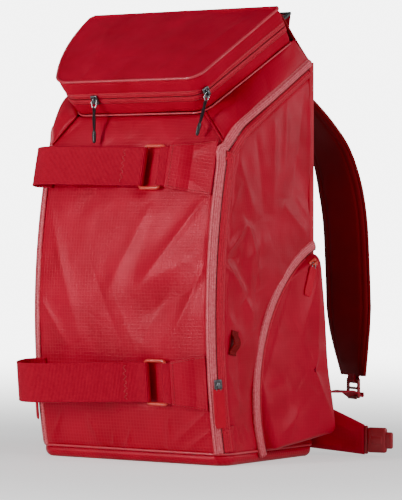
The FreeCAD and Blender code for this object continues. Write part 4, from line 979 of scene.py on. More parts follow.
def pockets():
    """Cargo pockets: a rounded shell, with a zip round its front edge."""
    middle = np.array([64.0, 112.0])
    rim = pocket_outline(0.5)
    rings = []
    for t in [0, .006, .015, .03, .05, .075, .10, .13, .17] + list(np.linspace(0.21, 0.985, 34)):
        at = rim + (middle - rim) * t
        y, z = at[:, 0], at[:, 1]
        face, wall = pocket_face(y, z), side_x(y) + 0.6
        height = np.maximum(face - wall, 3.2)
        deep = np.linalg.norm(rim - at, axis=1)
        r = np.minimum(height, 9.0)
        round_in = np.clip(deep / r, 0, 1)
        profile = np.sqrt(1 - (1 - round_in) ** 2)
        x = wall + (height - r) * np.clip(deep / 1.2, 0, 1) ** 0.5 + r * profile
        x = np.where(deep <= 0, wall, x)
        crown = 6.0 * np.clip(deep / 70, 0, 1) ** 0.8 * (1 - 0.3 * np.clip(deep / 70, 0, 1))
        flat = np.stack([y, z, y * 0], -1)
        soft = np.clip(deep / 14, 0, 1)
        lift = crown + (waves(flat, 60, 2.2, 51) + waves(flat, 22, 0.35, 52)) * soft
        for start, end, width, height_f in [((92, 240), (40, 140), 7, 2.2), ((-2, 30), (60, 90), 8, 2.0),
                                            ((90, 60), (40, 100), 8, 1.6), ((-14, 150), (40, 170), 8, 1.4),
                                            ((10, 22), (30, 70), 6, 1.6), ((60, 26), (66, 70), 7, 1.4),
                                            ((92, 140), (60, 130), 8, 1.5), ((-16, 90), (20, 96), 6, -1.3)]:
            lift = lift + fold(y, z, start, end, width * 1.3, height_f * 0.6) * soft
        rings.append(np.stack([x + lift, y, z], -1))
    right = disc("right_pocket_cloth", rings, 1.8, M["tarp_side"])
    left = mirror_copy(right, "left_pocket_cloth")
    chord = unit((0, POCKET_TOP[0] - POCKET_TOE[0], POCKET_TOP[1] - POCKET_TOE[1]))
    ahead = np.array([0, -chord[2], chord[1]])
    centre = np.array([162.0, (POCKET_TOP[0] + POCKET_TOE[0]) / 2, (POCKET_TOP[1] + POCKET_TOE[1]) / 2])
    for piece, side, flip in ((right, "right", 1), (left, "left", -1)):
        start, end = (centre - ahead * 9) * (flip, 1, 1), (centre + ahead * 9) * (flip, 1, 1)
        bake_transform(piece)
        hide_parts(f"{side}_pocket_panel", f"{side}_pocket_flap")

    arc = pocket_arc(POCKET_R + 0.6, math.radians(203), math.radians(110))
    on_side = lambda p, rise: np.column_stack([side_x(p[:, 0]) + rise, p])
    path = on_side(arc, 2.2)
    outward = unit(np.array([1.0, -0.03, 0]))
    along = unit(np.gradient(path, axis=0))
    sides = np.cross(along, outward)
    away = np.sign(np.mean(np.sum(sides[:, 1:] * unit(arc - POCKET_AT), 1)))
    outer = [(0.6, 1.2), (1.4, 2.1), (4.5, 2.6), (8.5, 2.2), (11.4, 1.1), (12.4, 0.0), (12.4, -2.4), (0.6, -2.4)]
    inner = [(-0.6, 1.2), (-1.2, 1.8), (-3.4, 1.9), (-5.0, 1.2), (-5.6, 0.0), (-5.6, -1.2), (-0.6, -1.2)]
    if away < 0:
        outer, inner = [(-a, b) for a, b in outer][::-1], [(-a, b) for a, b in inner][::-1]
    outer, inner = outer[::-1] if away > 0 else outer, inner if away > 0 else inner[::-1]
    both(sweep("pocket_zip_outer", path, outward, outer[::-1], M["tape"]), "bag", "zip_tape", "pocket_zip_tape")
    both(sweep("pocket_zip_inner", path[4:-8], outward, inner[::-1], M["tape_red"]), "pocket_flap", "zip_tape")
    ups = np.broadcast_to(outward, path.shape)
    both(teeth("pocket_zip_teeth", path, ups, M["teeth"], lift=0.7), "bag", "zip_tape")


# ---------------------------------------------------------------- straps, rings and tabs

def face_frame(z):
    y = float(front_y(z))
    out = unit((0, y - ARC_Y, z - ARC_Z))
    return np.array([0, y, z]), out, np.cross((1, 0, 0), out)


def in_frame(points, frame_at):
    at, out, down = frame_at
    points = np.asarray(points, float)
    return at + points[:, :1] * np.array([1.0, 0, 0]) + points[:, 1:2] * out


def band(name, path, across, width, thick, material, wave=0.0, seed=0):
    """Webbing along a path: its width runs across, with a woven edge and a slight wander."""
    path = resample(path, 1.2)
    along = unit(np.gradient(path, axis=0))
    up = np.cross(np.broadcast_to(across, path.shape), along)
    if wave:
        path = path + unit(up) * waves(path + seed * 13.0, 24, wave, seed)[:, None]
        along = unit(np.gradient(path, axis=0))
        up = np.cross(np.broadcast_to(across, path.shape), along)
    half, t = width / 2, thick / 2
    top = [(-half, 0.0), (-half + 0.5, t * 0.9), (-half + 1.6, t * 1.25), (-half + 2.6, t * 0.85), (-half * 0.5, t), (0, t),
           (half * 0.5, t), (half - 2.6, t * 0.85), (half - 1.6, t * 1.25), (half - 0.5, t * 0.9), (half, 0.0)]
    bottom = [(a, -b) for a, b in top[1:-1]][::-1]
    return sweep(name, path, up, top + bottom, material)


def turn_round(centre, radius, start, end, count=10):
    """Points of an arc, angles in degrees."""
    a = np.radians(np.linspace(start, end, count))
    return [(centre[0] + radius * math.cos(k), centre[1] + radius * math.sin(k)) for k in a]


RING_W, RING_H, RING_RISE, BAR = 33.0, 58.0, 7.0, 4.0


def lash_strap(stem, bar_x, slack):
    low, high = box(f"{stem}_ring")
    z = (low[2] + high[2]) / 2
    where = face_frame(z)
    at, out, down = where
    far_bar, turn, seam_x = bar_x - RING_W + BAR, 3.6, -118.0
    flat = [(seam_x, 1.5), (seam_x - 7, 2.2)]
    bow = 20.0
    flat += [(seam_x - bow, slack * 0.26), (seam_x - bow - 3, slack * 0.5), (seam_x - bow + 1, slack * 0.80)]
    flat += [(seam_x - 4, slack + 0.8), (seam_x + 28, slack * 0.94 + 0.8)]
    flat += [(far_bar - 40, RING_RISE + turn + (slack - 10.6) * 0.22), (far_bar - 14, RING_RISE + turn + 0.4)]
    front = smooth_path(flat + [(far_bar, RING_RISE + turn)], 1.5)
    loop = turn_round((far_bar, RING_RISE), turn, 90, -90, 14)
    tail = [(far_bar - 10, RING_RISE - turn - 0.1), (far_bar - 36, RING_RISE - turn - 0.2)]
    flat_all = np.concatenate([front, loop[1:], tail])
    path = in_frame(flat_all, where)
    strap = band(f"{stem}_strap_web", path, down, 50.0, 1.9, M["web"], 0.5, len(stem) + int(slack))
    stretch(strap)
    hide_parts(f"{stem}_strap")

    hold = [(bar_x + 30, 5.6), (bar_x + 18, 8.4), (bar_x + 8, RING_RISE + turn - 0.2)]
    hold += turn_round((bar_x, RING_RISE), turn, 90, 270, 14) + [(bar_x + 16, RING_RISE - turn), (bar_x + 28, 2.6)]
    place(band(f"{stem}_anchor_loop", in_frame(hold, where), down, 50.0, 1.9, M["web"]), "bag", "webbing")

    left, right = bar_x + 11.0, 126.5
    u, v = np.meshgrid(np.linspace(0, 1, 50), np.linspace(-1, 1, 60), indexing="ij")
    x = left + u * (right - left)
    half = 27.0 + (35.0 - 27.0) * u
    rise = np.interp(x, [left, bar_x + 18, bar_x + 26, bar_x + 33, bar_x + 42, right], [12.0, 10.8, 9.2, 7.2, 3.4, 1.9])
    rise = rise + fold(x, v * 30, (left + 16, -14), (right, -30), 7, 0.7)
    rise = rise + fold(x, v * 30, (left + 16, 12), (right, 28), 7, 0.6)
    flat = np.stack([x, v * 30, v * 0], -1)
    rise = rise + waves(flat, 30, 0.7, 61 + int(slack)) * np.clip(u * 3 - 0.6, 0, 1)
    rise = np.maximum(rise, 1.7)
    grid = at + x[..., None] * np.array([1.0, 0, 0]) + rise[..., None] * out + (v * half)[..., None] * down
    face_now = front_y(grid[..., 2])
    grid[..., 1] = np.minimum(grid[..., 1], face_now - 1.6)
    if np.mean(grid_normals(grid)[..., 1]) > 0:
        grid = grid[:, ::-1]
    place(sheet(f"{stem}_anchor_tab", grid, 1.3, M["tarp"]), "bag", "shell_fabric", f"{stem}_strap_anchor")
    for k, v_at in enumerate((2, 57)):
        row = grid[:, v_at] + out * 0.4
        place(stitches(f"{stem}_tab_stitches_{k}", row, out, M["thread_red"]), "bag", "webbing")
    place(stitches(f"{stem}_tab_stitches_2", grid[4] + out * 0.4, out, M["thread_red"]), "bag", "webbing")

    zigzag = []
    for k in range(13):
        zigzag.append((far_bar - 24 - (k % 2) * 5.0, -22 + k * 44 / 12))
    height = np.interp([p[0] for p in zigzag], front[:, 0], front[:, 1]) + 1.05
    row = np.array([at + np.array([p[0], 0, 0]) + out * h + down * p[1] for p, h in zip(zigzag, height)])
    place(stitches(f"{stem}_strap_stitches", row, out, M["thread"]), "bag", "webbing")

    w, h, r = RING_W / 2 - BAR / 2, RING_H / 2 - BAR / 2, 4.0
    corner = []
    for cx, cz, a in ((w - r, h - r, 0), (-w + r, h - r, 90), (-w + r, -h + r, 180), (w - r, -h + r, 270)):
        corner += turn_round((cx, cz), r, a, a + 90, 8)
    mid = (bar_x + far_bar) / 2
    wire = np.array([at + np.array([mid + a, 0, 0]) + out * RING_RISE - down * b for a, b in corner])
    wire = resample(np.concatenate([wire, wire[:1]]), 2.0)[:-1]
    place(sweep(f"{stem}_ring_wire", wire, out, round_profile(2.1, 12), M["coral"], closed=True),
          f"{stem}_ring", "ring_red", f"{stem}_ring")


# ---------------------------------------------------------------- solid fittings

def block(name, at, x_axis, y_axis, sizes, radius, material, segments=3):
    """A box with rounded edges, its sides along the two given axes and their cross product."""
    import bmesh
    bm = bmesh.new()
    bmesh.ops.create_cube(bm, size=1.0)
    for v in bm.verts:
        v.co = Vector([c * s for c, s in zip(v.co, sizes)])
    bmesh.ops.bevel(bm, geom=list(bm.edges), offset=radius, segments=segments, profile=0.5, affect="EDGES")
    x_axis = unit(x_axis)
    z_axis = unit(np.cross(x_axis, y_axis))
    y_axis = np.cross(z_axis, x_axis)
    for v in bm.verts:
        p = np.asarray(at, float) + x_axis * v.co.x + y_axis * v.co.y + z_axis * v.co.z
        v.co = Vector(p * MM)
    data = bpy.data.meshes.new(name)
    bm.to_mesh(data)
    bm.free()
    data.polygons.foreach_set("use_smooth", np.ones(len(data.polygons), bool))
    data.materials.append(material)
    obj = bpy.data.objects.new(name, data)
    bpy.context.scene.collection.objects.link(obj)
    return obj


def zip_slider(name, at, along, out, metal):
    """A slider: a waisted plate with raised rims, and an arched bridge for the pull."""
    along, out = unit(along), unit(out)
    side = np.cross(along, out)
    plate = block(f"{name}_plate", at, side, along, (9.6, 13.0, 1.8), 0.7, metal)
    nose = block(f"{name}_nose", at + along * 5.0 + out * 0.4, side, along, (6.4, 4.0, 2.2), 0.8, metal)
    arch = [at + along * a + out * b for a, b in
            [(-4.2, 0.6), (-4.2, 2.6), (-3.4, 4.0), (-1.6, 4.8), (1.2, 4.8), (3.2, 4.1), (4.2, 2.6), (4.4, 0.6)]]
    bridge = sweep(f"{name}_bridge", smooth_path(arch, 0.7), side, [(-0.6, -1.6), (0.6, -1.6), (0.6, 1.6), (-0.6, 1.6)], metal)
    rims = [block(f"{name}_rim{k}", at + side * 4.2 * k + out * 0.6, side, along, (1.3, 11.5, 1.8), 0.5, metal) for k in (1, -1)]
    return joined(name, plate, nose, bridge, *rims)


def slider_frame(node_name, along, out):
    low, high = box(node_name)
    return (low + high) / 2


def fabric_pull(name, top, hang, out, width, length, body_slot):
    """A folded cloth pull: a wire loop under the bridge, a padded tab with stitched edges."""
    hang, out = unit(hang), unit(out)
    side = np.cross(hang, out)
    loop = [top - side * 2.6 + hang * 6.5, top - side * 2.6 + hang * 0.8, top - side * 1.6 - hang * 0.2,
            top + side * 1.6 - hang * 0.2, top + side * 2.6 + hang * 0.8, top + side * 2.6 + hang * 6.5]
    wire = sweep(f"{name}_wire", smooth_path(loop, 0.8), out, round_profile(0.8, 8), M["metal"])
    u, v = np.linspace(0, 1, 40), np.linspace(-1, 1, 14)
    path = [top + hang * (5.0 + (length - 6.0) * t) - out * 0.4 for t in u]
    profile = []
    half = width / 2
    for t in u:
        end = min(1.0, (1 - t) * (length - 6) / 5.0, 0.62 + t * (length - 6) / 10.0)
        w = half * (0.74 + 0.26 * min(1.0, end))
        k = 1.25 if 0.06 < t < 0.96 else 0.9
        profile.append([(-w, 0), (-w * 0.96, k * 0.8), (-w * 0.75, k * 1.15), (-w * 0.6, k * 0.85), (0, k), (w * 0.6, k * 0.85),
                        (w * 0.75, k * 1.15), (w * 0.96, k * 0.8), (w, 0), (w * 0.9, -k * 0.8), (0, -k), (-w * 0.9, -k * 0.8)])
    tab = sweep(f"{name}_cloth", path, out, profile, M["pull"])
    return wire, tab


def cord_pull(name, top, hang, out):
    """A wire link, a knotted cord and a moulded end."""
    hang, out = unit(hang), unit(out)
    side = np.cross(hang, out)
    loop = [top - hang * 0.3, top + side * 2.2 + hang * 0.1, top + side * 3.9 + hang * 2.6, top + side * 3.3 + hang * 8.0,
            top + side * 1.2 + hang * 10.8, top - side * 1.2 + hang * 10.8, top - side * 3.3 + hang * 8.0,
            top - side * 3.9 + hang * 2.6, top - side * 2.2 + hang * 0.1]
    wire = sweep(f"{name}_wire", np.array(loop), out, round_profile(0.85, 8), M["silver"], closed=True)
    strands = []
    for k, s in enumerate((1, -1)):
        path = [top + hang * 9.6 - side * s * 0.2, top + hang * 13 + side * s * 1.5, top + hang * 17.5 + side * s * 0.7,
                top + hang * 24 + side * s * 1.2 + out * 0.3, top + hang * 34 + side * s * 1.0, top + hang * 43]
        strands.append(sweep(f"{name}_cord{k}", smooth_path(path, 1.0), out, round_profile(1.15, 8), M["cord"]))
    end_path = [top + hang * t for t in np.linspace(38, 55, 18)]
    sizes = np.interp(np.linspace(0, 1, 18), [0, .08, .3, .8, .95, 1], [1.0, 2.1, 2.7, 2.5, 2.0, 1.0])
    end = sweep(f"{name}_end", end_path, out, [round_profile(s, 12, 0.85) for s in sizes], M["black_plastic"])
    return [wire, *strands, end]


def fittings():
    low, high = box("front_lid_slider")
    at = np.array([-56.0, (low[1] + high[1]) / 2 + 1.0, (low[2] + high[2]) / 2])
    forward = LID_FORWARD
    place(zip_slider("front_lid_slider_body", at, LID_DOWN, forward, M["metal"]), "front_lid_slider", "slider_metal", "front_lid_slider")
    pivot = joint_at("front_lid_pull_swing")
    pieces = cord_pull("front_lid_cord", pivot, (0, 0, -1), (0, -1, 0))
    for k, piece in enumerate(pieces):
        place(piece, "front_lid_pull", "cord", *(["front_lid_pull"] if k == 0 else []))

    pivot = joint_at("side_lid_pull_swing")
    along = joint_axis("side_lid_slide")
    out = np.cross(along, LID_DOWN)
    out = unit(out if out[0] > 0 else -out)
    hang = unit((-0.2, -0.16, -1))
    flat = unit(out - hang * out.dot(hang))
    place(zip_slider("side_lid_slider_body", pivot - flat * 2.3, LID_DOWN, out, M["metal"]), "side_lid_slider", "slider_metal", "side_lid_slider")
    for k, piece in enumerate(cord_pull("side_lid_cord", pivot, hang, flat)):
        place(piece, "side_lid_pull", "cord", *(["side_lid_pull"] if k == 0 else []))

    pivot = joint_at("right_door_pull_swing")
    at, out, down = face_frame(100.0)
    side_out = unit(np.array([1.0, 0, 0]) + out)
    both(zip_slider("door_slider_body", pivot - side_out * 2.3, -down, side_out, M["metal"]), "door_slider", "slider_metal", "door_slider")
    wire, tab = fabric_pull("door_pull", pivot, down, side_out, 14.5, 54.0, None)
    both(wire, "door_pull", "slider_metal")
    both(tab, "door_pull", "pull_fabric", "door_pull")

    pivot = joint_at("right_pocket_pull_swing")
    radial = np.array([0, 82.5 - POCKET_AT[0], 246.2 - POCKET_AT[1]])
    along = unit(np.cross(unit(radial - POCKET_OUT * radial.dot(POCKET_OUT)), POCKET_OUT))
    crease = np.array([0, POCKET_TOE[0] - POCKET_TOP[0], POCKET_TOE[1] - POCKET_TOP[1]], float)
    hang = unit(crease - POCKET_OUT * crease.dot(POCKET_OUT))
    both(zip_slider("pocket_slider_body", pivot - POCKET_OUT * 2.3, along, POCKET_OUT, M["coral"]), "pocket_slider", "slider_red", "pocket_slider")
    wire, tab = fabric_pull("pocket_pull", pivot, hang, POCKET_OUT, 12.5, 46.0, None)
    both(wire, "pocket_pull", "slider_metal")
    both(tab, "pocket_pull", "pull_fabric", "pocket_pull")

    low, high = box("right_lash_loop")
    centre = (low + high) / 2
    run = unit((0, 0.2, 0.98))
    base_x = low[0] + 0.6
    path = [centre * (0, 1, 1) + np.array([base_x + h, 0, 0]) + run * s for s, h in
            [(-15, 0.4), (-10, 0.6), (-5, 4.0), (0, 5.6), (5, 4.0), (10, 0.6), (15, 0.4)]]
    across = np.cross(run, (1, 0, 0))
    path = [p - np.array([0, 4.0, 0]) for p in path]
    both(band("lash_loop_web", smooth_path(path, 1.0), across, 15.0, 1.7, M["web_dark"]), "door", "webbing", "lash_loop")


# ---------------------------------------------------------------- back system

YAW = math.radians(28)
OUTWARD = np.array([math.sin(YAW), math.cos(YAW), 0])
ACROSS = np.array([math.cos(YAW), -math.sin(YAW), 0])


def shoulder_straps():
    start = np.array([58.0, 121.0, 0.0])
    line = [(0, 496), (25, 481), (58, 452), (86, 420), (105, 390), (118, 350), (127, 300), (131, 233), (134, 160), (140, 95)]
    path = np.array([start + OUTWARD * r + np.array([0, 0, z]) for r, z in smooth_path(line, 3.0)])
    along = unit(np.gradient(path, axis=0))
    drop = np.linspace(0, 1, len(path))
    turn = np.radians(28 - 26 * np.interp(drop, [0, 0.12, 0.45, 0.8, 0.93, 1], [0, 0.2, 1, 1, 0.4, 0]))
    across = np.stack([np.cos(turn), -np.sin(turn), turn * 0], 1)
    up = unit(np.cross(across, along))
    s = np.linspace(-1, 1, 41)
    half = 33.0
    total = len(path)
    profiles = []
    for i in range(total):
        t = i / (total - 1)
        near_end = min(1.0, t * total * 3 / 18.0, (1 - t) * total * 3 / 18.0)
        w = half * (0.84 + 0.16 * min(1.0, (1 - t) * total * 3 / 60.0))
        h = 6.0 * (0.45 + 0.55 * near_end)
        pad = h * (1 - np.abs(s) ** 4.0) ** 0.5 + 0.9
        groove = 1.7 * np.exp(-((np.abs(s) * half - 24.5) / 1.3) ** 2)
        top = pad - groove
        bottom = -(pad * 0.85 - groove * 0.6)
        profiles.append(np.concatenate([np.stack([s * w, top], 1), np.stack([s[::-1][1:-1] * w, bottom[::-1][1:-1]], 1)]))
    both(sweep("shoulder_pad", path, up, profiles, M["pad"]), "shoulder", "padding", "shoulder_strap")
    side = np.cross(along, up)
    for k in (1, -1):
        w = np.array([half * (0.84 + 0.16 * min(1.0, (total - 1 - i) * 3 / 60.0)) for i in range(total)])
        edge = path + side * (k * w)[:, None]
        both(sweep(f"strap_binding_{k + 1}", edge, up, [(a, b * 1.5) for a, b in round_profile(1.7, 10)], M["web_dark"]),
             "shoulder", "padding")
        row = path + side * (k * (w - 6.5))[:, None] + up * 5.2
        both(stitches(f"strap_stitches_{k + 1}", row[6:-6], up[6:-6], M["thread_red"]), "shoulder", "padding")
    low, high = box("right_strap_lock")
    lock = (low + high) / 2
    parts = ladder_lock("strap_lock", lock, ACROSS, (0, 0, 1), M["red_plastic"])
    both(parts, "shoulder", "buckle_red", "strap_lock")
    carrier = [lock + np.array([0, 0, 20.0]) + OUTWARD * 3.2, lock + np.array([0, 0, 9.5]) + OUTWARD * 3.0,
               lock + np.array([0, 0, 7.0]) + OUTWARD * 0.2, lock + np.array([0, 0, 9.5]) - OUTWARD * 2.6,
               lock + np.array([0, 0, 20.0]) - OUTWARD * 3.0]
    both(band("strap_carrier", smooth_path(carrier, 1.0), ACROSS, 19.0, 1.5, M["web"]), "shoulder", "webbing")

    foot = np.array([132.0, BACK_Y + 2.4, 94.0])
    knee = lock - np.array([0, 0, 8.0])
    span = knee - foot
    flat = unit(span * (1, 1, 0))
    run = np.linalg.norm(span[:2])
    points = [foot + flat * 1.0, foot + flat * 12 - np.array([0, 0, 7.0]), foot + flat * 42 - np.array([0, 0, 15.0]),
              foot + flat * run * 0.62 - np.array([0, 0, 18.0]), foot + flat * run * 0.86 - np.array([0, 0, 19.0]),
              knee - np.array([0, 0, 3.0]) + OUTWARD * 2.4, knee + np.array([0, 0, 3.0]) + OUTWARD * 3.4]
    across = np.cross(flat, (0, 0, 1))
    web = band("adjuster_web", smooth_path(points, 1.2), across, 25.0, 1.7, M["web"], 0.5, 7)
    copy = mirror_copy(web, "left_adjuster_web")
    web.name = "right_adjuster_web"
    for piece, side, flip in ((web, "right", 1), (copy, "left", -1)):
        stretch(piece)
        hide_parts(f"{side}_adjuster_webbing")


def ladder_lock(name, at, across, along, material):
    """A two-slot webbing buckle with rounded bars and a raised lip."""
    across, along = unit(across), unit(along)
    out = np.cross(across, along)
    parts = []
    for k, (offset, depth, thick) in enumerate(((-11.3, 3.4, 4.2), (0.0, 3.2, 4.6), (11.3, 3.4, 4.2))):
        parts.append(block(f"{name}_bar{k}", at + along * offset, across, along, (30.0, depth, thick), 1.2, material))
    for k in (1, -1):
        parts.append(block(f"{name}_side{k}", at + across * k * 13.2, across, along, (3.6, 26.0, 4.2), 1.2, material))
    parts.append(block(f"{name}_lip", at - along * 13.0 + out * 1.4, across, along, (22.0, 3.2, 2.0), 0.8, material))
    return joined(f"{name}_body", *parts)


def back_pads():
    for k in (1, -1):
        u, v = np.meshgrid(np.linspace(-1, 1, 46), np.linspace(-1, 1, 150), indexing="ij")
        x = k * 62.0 + u * 31
        z = 265 + v * 165
        d = np.minimum((1 - np.abs(u)) * 31, (1 - np.abs(v)) * 165)
        h = 11.5 * (1 - (1 - np.clip(d / 12, 0, 1)) ** 2) ** 0.5 + 0.4
        for channel in (150, 207, 265, 322, 380):
            h = h - 4.5 * np.exp(-((z - channel) / 3.4) ** 2) * np.clip(d / 8, 0, 1)
        grid = np.stack([x, 100.2 + h, z], -1)
        if np.mean(grid_normals(grid)[..., 1]) < 0:
            grid = grid[::-1]
        piece = sheet(f"back_pad_{k + 1}", grid, 1.2, M["mesh"])
        place(piece, "bag", "padding", *(["back_pads"] if k == 1 else []))


def upper_back():
    """The haul handle, load lifters and their webbing above the shoulder straps."""
    slope = unit((0, BACK_Y - PEAK[1], 500 - PEAK[2]))
    out = np.array([0, -slope[2], slope[1]])
    low, high = box("haul_handle")
    middle = PEAK + slope * 36
    arch = [middle + np.array([x, 0, 0]) + out * h + slope * s for x, h, s in
            [(-56, 1.6, 6), (-44, 2.4, 5), (-36, 7, 1), (-18, 10, -2), (0, 10.6, -3), (18, 10, -2), (36, 7, 1), (44, 2.4, 5), (56, 1.6, 6)]]
    place(band("haul_handle_web", smooth_path(arch, 1.2), slope, 24.0, 2.2, M["web"]), "haul_handle", "webbing", "haul_handle")
    grip = [middle + np.array([x, 0, 0]) + out * (10.6 - (x / 30) ** 2) + slope * (-3 + (x / 22) ** 2) for x in np.linspace(-26, 26, 30)]
    place(sweep("haul_handle_grip", grip, out, [(a * 2.3, b) for a, b in round_profile(5.0, 16, 0.75)], M["pad"]),
          "haul_handle", "padding")
    locks = box("load_lifter_locks")
    lean = unit(out + slope * 0.35)
    for k in (1, -1):
        foot = PEAK + slope * 34 + np.array([k * 107.0, 0, 0]) + out * 0.5
        tab = [foot + lean * t for t in (0.5, 6, 12, 19, 21)]
        place(band(f"lifter_tab_{k + 1}", tab, (1, 0, 0), 24.0, 1.8, M["web"]), "bag", "webbing",
              *(["load_lifter_tabs"] if k == 1 else []))
        at = foot + lean * 33
        place(ladder_lock(f"lifter_lock_{k + 1}", at, (1, 0, 0), lean, M["black_plastic"]), "bag", "buckle_black",
              *(["load_lifter_locks"] if k == 1 else []))
        end = np.array([k * (58 + 42 * OUTWARD[0]), 121 + 42 * OUTWARD[1], 496.0])
        begin = at + lean * 4
        way = unit(end - begin)
        across = unit(np.cross(way, (0, 0, 1)))
        line = smooth_path([begin, begin + lean * 12 + way * 4, begin + way * 30 + out * 2, end - way * 20, end], 1.2)
        web = band(f"lifter_web_{k + 1}", line, across, 19.0, 1.6, M["web"])
        stretch(web)
        if k == 1:
            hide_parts("load_lifter_webbing")


def hip_belt():
    along = unit((0.985, 0.174, 0))
    base = np.array([122.0, 107.0, 0.0])
    normal = np.cross(along, (0, 0, 1))
    u, v = np.meshgrid(np.linspace(0, 1, 70), np.linspace(0, 1, 36), indexing="ij")
    low = 11 + (3 - 11) * u
    high = np.where(u < 0.3, 69.0, 69 + (41 - 69) * (u - 0.3) / 0.7)
    z = low + (high - low) * v
    d = np.minimum(np.minimum(v, 1 - v) * (high - low), np.minimum(u, 1 - u) * 92 + 1)
    puff = 2.3 * (1 - (1 - np.clip(d / 7, 0, 1)) ** 2) ** 0.5
    flat = np.stack([u * 92, z, z * 0], -1)
    grid = base + (u * 92)[..., None] * along + np.array([0, 0, 1.0]) * z[..., None]
    bend = waves(flat, 60, 3.0, 81) * u
    for start, end, width, height in (((4, 60), (84, 30), 6, 2.0), ((2, 34), (80, 18), 6, -1.8), ((6, 20), (60, 12), 5, 1.6)):
        bend = bend + fold(flat[..., 0], z, start, end, width, height)
    front = grid + normal * (puff + bend + 0.2)[..., None]
    rear = grid - normal * (puff - bend + 0.2)[..., None]
    both(pillow("hip_wing_cloth", front, rear, M["tarp_side"]), "hip", "shell_fabric", "hip_wing")
    start = base + along * 93
    low_b, high_b = box("right_hip_buckle")
    at = (low_b + high_b) / 2
    parts = [block("buckle_shell", at - along * 3, along, (0, 0, 1), (26.0, 32.0, 8.0), 3.2, M["red_plastic"], 4),
             block("buckle_mouth", at + along * 13, along, (0, 0, 1), (10.0, 21.0, 6.5), 2.4, M["red_plastic"], 4),
             block("buckle_rib", at - along * 3, along, (0, 0, 1), (17.0, 12.0, 9.4), 2.6, M["red_plastic"], 4),
             block("buckle_bar", at - along * 17.5, along, (0, 0, 1), (4.0, 36.0, 5.0), 1.4, M["red_plastic"])]
    both(joined("hip_buckle_body", *parts), "hip", "buckle_red", "hip_buckle")


def pillow(name, front, rear, material):
    """A closed form from a front grid and a rear grid that meet at their borders."""
    nu, nv = front.shape[:2]
    if np.sum(grid_normals(front) * (front - rear)) < 0:
        front, rear = front[::-1], rear[::-1]
    verts = np.concatenate([front.reshape(-1, 3), rear.reshape(-1, 3)])
    index, count = np.arange(nu * nv).reshape(nu, nv), nu * nv
    quads = np.stack([index[:-1, :-1], index[1:, :-1], index[1:, 1:], index[:-1, 1:]], -1).reshape(-1, 4)
    faces = quads.tolist() + (quads[:, ::-1] + count).tolist()
    rim = np.concatenate([index[:, 0], index[-1, 1:], index[-2::-1, -1], index[0, -2:0:-1]])
    nxt = np.roll(rim, -1)
    faces += np.stack([rim, rim + count, nxt + count, nxt], -1).tolist()
    uv = grid_uv(front).reshape(-1, 2)
    return mesh_object(name, verts, faces, material, np.concatenate([uv, uv]))


def boards():
    for name in ("base_board", "back_frame_sheet"):
        data = frame["nodes"][name].data
        data.materials.clear()
        data.materials.append(M["board"])


front_panel()
base()
back()
sides()
door_zips()
yokes()
lid_top()
collar()
lid_zip()
pockets()
lash_strap("upper", 51.0, 20.0)
lash_strap("lower", 70.0, 44.0)
fittings()
shoulder_straps()
back_pads()
upper_back()
hip_belt()
boards()


# ---------------------------------------------------------------- floor, light and camera

BACKDROP = 6.0


def seen_only(n, shader_a, colour, strength, factor):
    """Mixes a glow into a shader that the camera sees and that lights nothing."""
    glow = n.add("ShaderNodeEmission", {"Color": (*colour, 1), "Strength": strength})
    seen = n.add("ShaderNodeLightPath").outputs["Is Camera Ray"]
    return n.add("ShaderNodeMixShader", {0: n.math("MULTIPLY", seen, factor), 1: shader_a, 2: glow.outputs[0]})


def stage_material():
    """Pale paper that fades into the backdrop with distance."""
    n = Nodes("floor_paper")
    place_at = n.coords(False)
    grain = n.noise(place_at, 30.0, 2.0)
    n.set(Base_Color=n.ramp(grain, 0.3, 0.7, (0.93, 0.93, 0.93), (0.96, 0.96, 0.96)), Roughness=0.8)
    length = n.add("ShaderNodeVectorMath", {0: place_at}, operation="LENGTH").outputs["Value"]
    far = n.add("ShaderNodeMapRange", {"Value": length, "From Min": 0.25, "From Max": 2.6, "To Min": 0.10, "To Max": 1.0},
                interpolation_type="SMOOTHSTEP").outputs[0]
    mixed = seen_only(n, n.shader.outputs[0], (1, 1, 1), BACKDROP, far)
    n.tree.links.new(mixed.outputs[0], n.output.inputs[0])
    return n.material


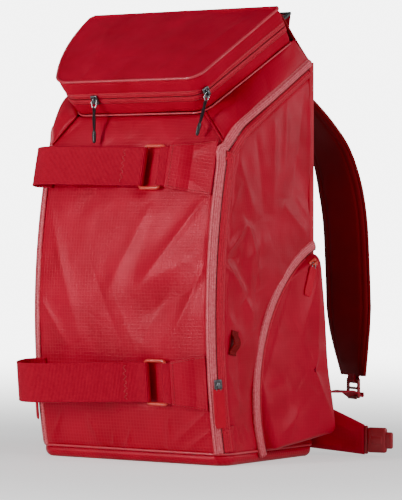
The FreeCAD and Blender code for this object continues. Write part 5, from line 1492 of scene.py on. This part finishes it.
def stage():
    """A pale floor that fades into a bright backdrop, a soft studio light set and the camera."""
    direction = Vector((-0.559, 0.829, 0.0))
    sideways = Vector((0.829, 0.559, 0.0))
    verts = [(x, y, 0.0) for x, y in ((-9000, -9000), (9000, -9000), (9000, 9000), (-9000, 9000))]
    floor = mesh_object("floor", np.array(verts), [(0, 1, 2, 3)], stage_material())

    def lamp(name, at, target, size, power, colour=(1, 1, 1)):
        data = bpy.data.lights.new(name, "AREA")
        data.shape, data.size, data.size_y = "RECTANGLE", size[0], size[1]
        data.energy, data.color = power, colour
        obj = bpy.data.objects.new(name, data)
        obj.location = at
        obj.rotation_euler = (Vector(target) - Vector(at)).to_track_quat("-Z", "Y").to_euler()
        bpy.context.scene.collection.objects.link(obj)

    centre = Vector((0.02, 0.0, 0.30))
    right, toward = sideways, -direction
    lamp("soft_box", (-0.60, -1.42, 0.50), (0.05, -0.1, 0.27), (0.30, 0.75), 13)
    lamp("side_box", (1.65, 0.25, 0.70), (0.15, 0.0, 0.25), (0.35, 0.9), 7)
    lamp("back_box", (1.20, 1.70, 0.75), (0.12, 0.12, 0.30), (0.8, 0.9), 3)
    lamp("top_box", (-0.30, -0.60, 1.65), (0.0, -0.02, 0.5), (0.8, 0.6), 4)
    lamp("front_fill", centre + toward * 2.0 + right * 1.5 + Vector((0, 0, 1.0)), centre, (0.5, 0.5), 15)
    world = bpy.data.worlds.new("studio")
    world.use_nodes = True
    tree = world.node_tree
    seen = tree.nodes.new("ShaderNodeLightPath")
    level = tree.nodes.new("ShaderNodeMapRange")
    level.inputs["To Min"].default_value, level.inputs["To Max"].default_value = 0.16, BACKDROP
    tree.links.new(seen.outputs["Is Camera Ray"], level.inputs["Value"])
    background = tree.nodes["Background"]
    background.inputs[0].default_value = (1, 1, 1, 1)
    tree.links.new(level.outputs[0], background.inputs[1])
    bpy.context.scene.world = world

    camera_data = bpy.data.cameras.new("camera")
    focal_px, frame_px, middle_u, horizon_v = 2676.0, 500.0, 131.1, 215.0
    camera_data.sensor_fit = "VERTICAL"
    camera_data.sensor_height = 36.0
    camera_data.lens = focal_px / frame_px * 36.0
    camera_data.shift_y = (horizon_v - 250.0) / frame_px
    camera_data.clip_end = 50
    near = Vector((0.0, -0.090, 0.0))
    depth = 3.345
    eye = near - direction * depth + sideways * ((201.0 - middle_u) / focal_px * depth)
    eye.z = 0.3076
    camera = bpy.data.objects.new("camera", camera_data)
    camera.location = eye
    camera.rotation_euler = direction.to_track_quat("-Z", "Y").to_euler()
    bpy.context.scene.collection.objects.link(camera)
    bpy.context.scene.camera = camera


stage()
